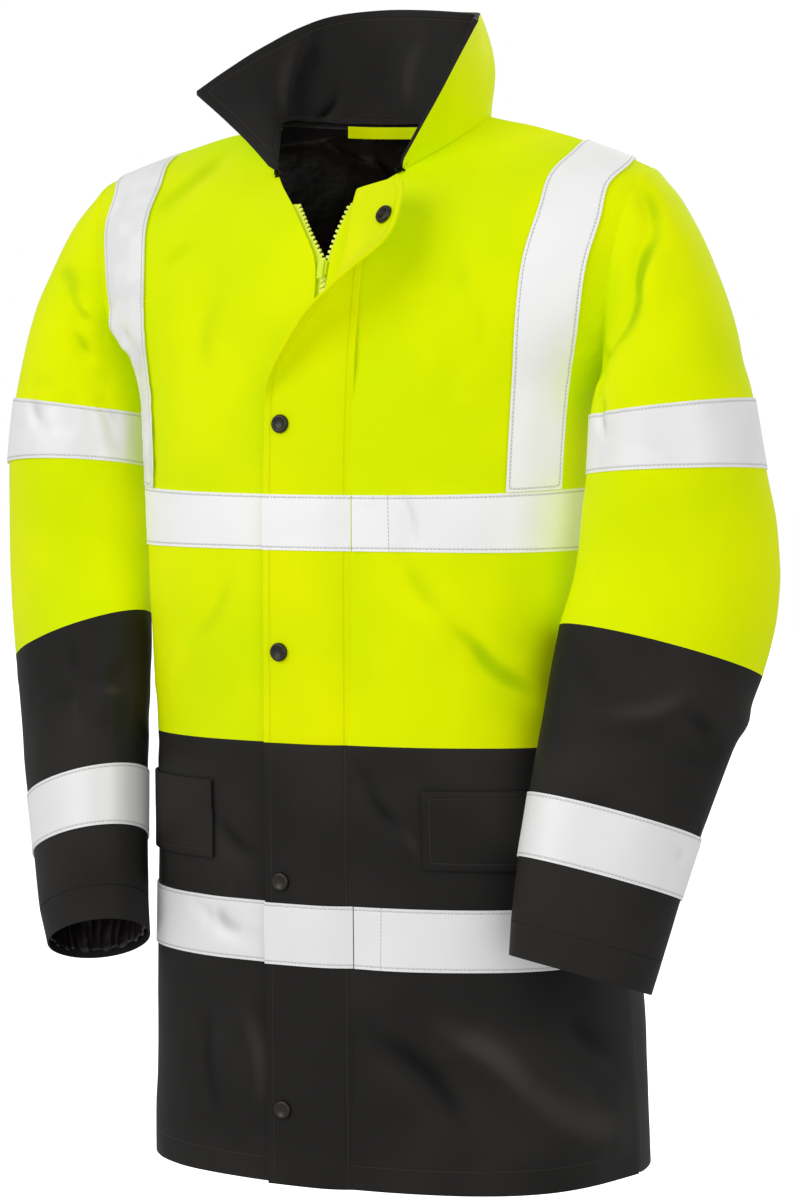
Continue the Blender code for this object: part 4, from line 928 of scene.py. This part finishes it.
def spun(profile, steps):
    # A turned solid from its radii and heights, on the Z axis.
    mesh = bmesh.new()
    line = [mesh.verts.new((radius, 0, height)) for radius, height in profile]
    edges = [mesh.edges.new(pair) for pair in zip(line, line[1:])]
    bmesh.ops.spin(mesh, geom=line + edges, cent=(0, 0, 0), axis=(0, 0, 1),
                   angle=math.tau, steps=steps, use_merge=True)
    bmesh.ops.remove_doubles(mesh, verts=mesh.verts, dist=sheets["merge"])
    bmesh.ops.recalc_face_normals(mesh, faces=mesh.faces)
    return mesh


def standing(node):
    # A matrix on the middle of a round node, with Z pointing away from the cloth.
    points = readVectors(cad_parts[node].data, "co")
    middle = (points.min(axis=0) + points.max(axis=0)) / 2
    flat = np.linalg.svd(points - points.mean(axis=0))[2][2]
    if flat[1] > 0:
        flat = -flat
    half = np.abs((points - points.mean(axis=0)) @ flat).max()
    turn = Vector(flat).to_track_quat("Z", "Y").to_matrix().to_4x4()
    return Matrix.Translation(Vector(middle - flat * half)) @ turn


def turnedPiece(name, node, profile, steps):
    mesh = spun(profile, steps)
    bmesh.ops.transform(mesh, matrix=standing(node), verts=mesh.verts)
    piece = addPiece(name, mesh)
    piece.data.materials.append(materials["snap"])
    piece.data.shade_smooth()
    piece.data.set_sharp_from_angle(angle=sheets["sharpAngle"])
    dress(piece, [node])


snap = {"count": 4, "radius": 0.0076, "rise": 0.0031, "dish": 0.0044, "steps": 40}
socket = {"radius": 0.0078, "rise": 0.0034, "hole": 0.0040, "steps": 40}


def makeSnaps():
    # Snap caps with a rolled rim round a shallow dish, and the socket on the fold. Each is
    # turned from rows of a radius and a height, out from its middle and down its side.
    radius, rise, dish = snap["radius"], snap["rise"], snap["dish"]
    cap = [(0.0, rise * 0.52), (dish * 0.7, rise * 0.55), (dish, rise * 0.72),
           (dish + 0.0008, rise * 0.96), (radius - 0.0014, rise),
           (radius - 0.0005, rise * 0.78), (radius, rise * 0.42), (radius, 0.0), (0.0, 0.0)]
    for number in range(1, snap["count"] + 1):
        turnedPiece(f"snap{number}", f"snap_{number}", cap, snap["steps"])
    radius, rise, hole = socket["radius"], socket["rise"], socket["hole"]
    ring = [(0.0, rise * 0.2), (hole * 0.55, rise * 0.24), (hole * 0.8, rise * 0.12),
            (hole, rise * 0.3), (hole + 0.0006, rise * 0.86), (hole + 0.0014, rise),
            (radius - 0.0010, rise * 0.88), (radius, rise * 0.4), (radius, 0.0), (0.0, 0.0)]
    turnedPiece("snapSocket", "snap_socket", ring, socket["steps"])


# below: the teeth end at this height, under the flap. band: the height of the tape over
# which its edge is read. start: from the top of a tape to its first tooth. stagger: how far
# each row is moved, in pitches, so that the two mesh.
tooth = {"pitch": 0.0045, "wide": 0.0034, "deep": 0.0022, "high": 0.0024, "past": 0.0006,
         "bevel": 0.0004, "below": -0.150, "band": 0.004, "start": 0.002, "ahead": 0.003,
         "shortest": 0.001, "stagger": {"zip_tape_right": 0.0, "zip_tape_left": 0.5}}


def tapeEdge(node, side):
    # The free edge of a zip tape, from the top down. side: towards the other tape.
    points = readVectors(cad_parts[node].data, "co")
    bands = {}
    for point in points[points[:, 2] > tooth["below"]]:
        bands.setdefault(round(point[2] / tooth["band"]), []).append(point)
    edge = [max(band, key=lambda point: point[0] * side) for band in bands.values()]
    return np.array(sorted(edge, key=lambda point: -point[2]))


def addTooth(row, here, down, side):
    # One tooth across the edge of a tape that runs down, reaching a little past it.
    front = Vector((0, -1, 0))
    front = (front - down * front.dot(down)).normalized()
    across = down.cross(front)
    if across.x * side < 0:
        across = -across
    made = bmesh.ops.create_cube(row, size=1)["verts"]
    bmesh.ops.scale(row, vec=(tooth["wide"], tooth["deep"], tooth["high"]), verts=made)
    turn = Matrix((across, -front, -down)).transposed().to_4x4()
    spot = Matrix.Translation(here + across * tooth["past"])
    bmesh.ops.transform(row, matrix=spot @ turn, verts=made)


def makeTeeth():
    for node, stagger in tooth["stagger"].items():
        side = 1 if "right" in node else -1
        line = tapeEdge(node, side)
        reach = reachOf(line)
        start = stagger * tooth["pitch"] + tooth["start"]
        row = bmesh.new()
        for at in np.arange(start, reach[-1], tooth["pitch"]):
            here = Vector(pointsAt(line, reach, at))
            down = Vector(pointsAt(line, reach, at + tooth["ahead"])) - here
            if down.length > tooth["shortest"]:
                addTooth(row, here, down.normalized(), side)
        bmesh.ops.recalc_face_normals(row, faces=row.faces)
        bmesh.ops.bevel(row, geom=row.edges[:], offset=tooth["bevel"], segments=1,
                        profile=0.5, affect="EDGES", material=-1)
        piece = addPiece(f"zipTeeth_{node.split('_')[-1]}", row)
        piece.data.materials.append(materials["teeth"])
        dress(piece)


def colorZip():
    for node in ("zip_slider", "zip_pull", "zip_tape_left", "zip_tape_right"):
        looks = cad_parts[node].data.materials
        looks.clear()
        looks.append(materials["zip"])


makeSnaps()
makeTeeth()
colorZip()
print("stage: hard pieces made")

# Each light has a place, a diameter and a power.
studio = {"floor": -1.25, "floorReach": 12, "floorGlow": 0.95, "skyLight": 0.56,
          "azimuth": 27.0, "elevation": 3.2, "distance": 3.2, "lens": 114.24,
          "sensor": 36.0, "target": (-0.0056, -0.0029, -0.3986),
          "lights": {"key": ((-1.6, -3.2, 1.3), 3.4, 56), "fill": ((2.8, -2.4, 0.4), 2.4, 24),
                     "rear": ((0.6, 2.6, 1.6), 2.0, 28)}}


def addLight(name, place, size, power):
    data = bpy.data.lights.new(name, "AREA")
    data.shape = "DISK"
    data.size = size
    data.energy = power
    light = bpy.data.objects.new(name, data)
    light.location = place
    toTarget = Vector(studio["target"]) - Vector(place)
    light.rotation_euler = toTarget.to_track_quat("-Z", "Y").to_euler()
    bpy.context.scene.collection.objects.link(light)


def makeFloor():
    floor = bmesh.new()
    bmesh.ops.create_grid(floor, x_segments=1, y_segments=1, size=studio["floorReach"])
    bmesh.ops.translate(floor, vec=(0, 0, studio["floor"]), verts=floor.verts)
    ground = addPiece("floor", floor)
    pale = makePlain("paleFloor", (0.9, 0.9, 0.9, 1), roughness=0.8, glow=studio["floorGlow"])
    ground.data.materials.append(pale)
    ground.visible_diffuse = ground.visible_glossy = False  # seen, but lights nothing


def makeSky():
    # White where the camera sees it, and dimmer as a light.
    world = bpy.data.worlds.new("studio")
    world.use_nodes = True
    nodes, links = world.node_tree.nodes, world.node_tree.links
    backdrop = nodes["Background"]
    backdrop.inputs["Color"].default_value = (1, 1, 1, 1)
    seen = nodes.new("ShaderNodeLightPath")
    strength = nodes.new("ShaderNodeMapRange")
    strength.inputs["To Min"].default_value = studio["skyLight"]
    strength.inputs["To Max"].default_value = 1.0
    links.new(seen.outputs["Is Camera Ray"], strength.inputs["Value"])
    links.new(strength.outputs["Result"], backdrop.inputs["Strength"])
    bpy.context.scene.world = world
    bpy.context.scene.view_settings.view_transform = "Standard"


def makeCamera():
    azimuth, elevation = math.radians(studio["azimuth"]), math.radians(studio["elevation"])
    toward = Vector((math.sin(azimuth) * math.cos(elevation),
                     -math.cos(azimuth) * math.cos(elevation), math.sin(elevation)))
    data = bpy.data.cameras.new("camera")
    data.sensor_fit = "AUTO"
    data.sensor_width = studio["sensor"]
    data.lens = studio["lens"]
    camera = bpy.data.objects.new("camera", data)
    camera.location = Vector(studio["target"]) + toward * studio["distance"]
    camera.rotation_euler = (-toward).to_track_quat("-Z", "Y").to_euler()
    bpy.context.scene.collection.objects.link(camera)
    bpy.context.scene.camera = camera


makeFloor()
for name, (place, size, power) in studio["lights"].items():
    addLight(name, place, size, power)
makeSky()
makeCamera()
print("stage: studio made")

heaviest = {piece.name: sum(len(face.vertices) - 2 for face in piece.data.polygons)
            for piece in bpy.data.objects if piece.type == "MESH"}
print("stage:", sum(heaviest.values()), "triangles in all, most in",
      max(heaviest, key=heaviest.get), max(heaviest.values()))
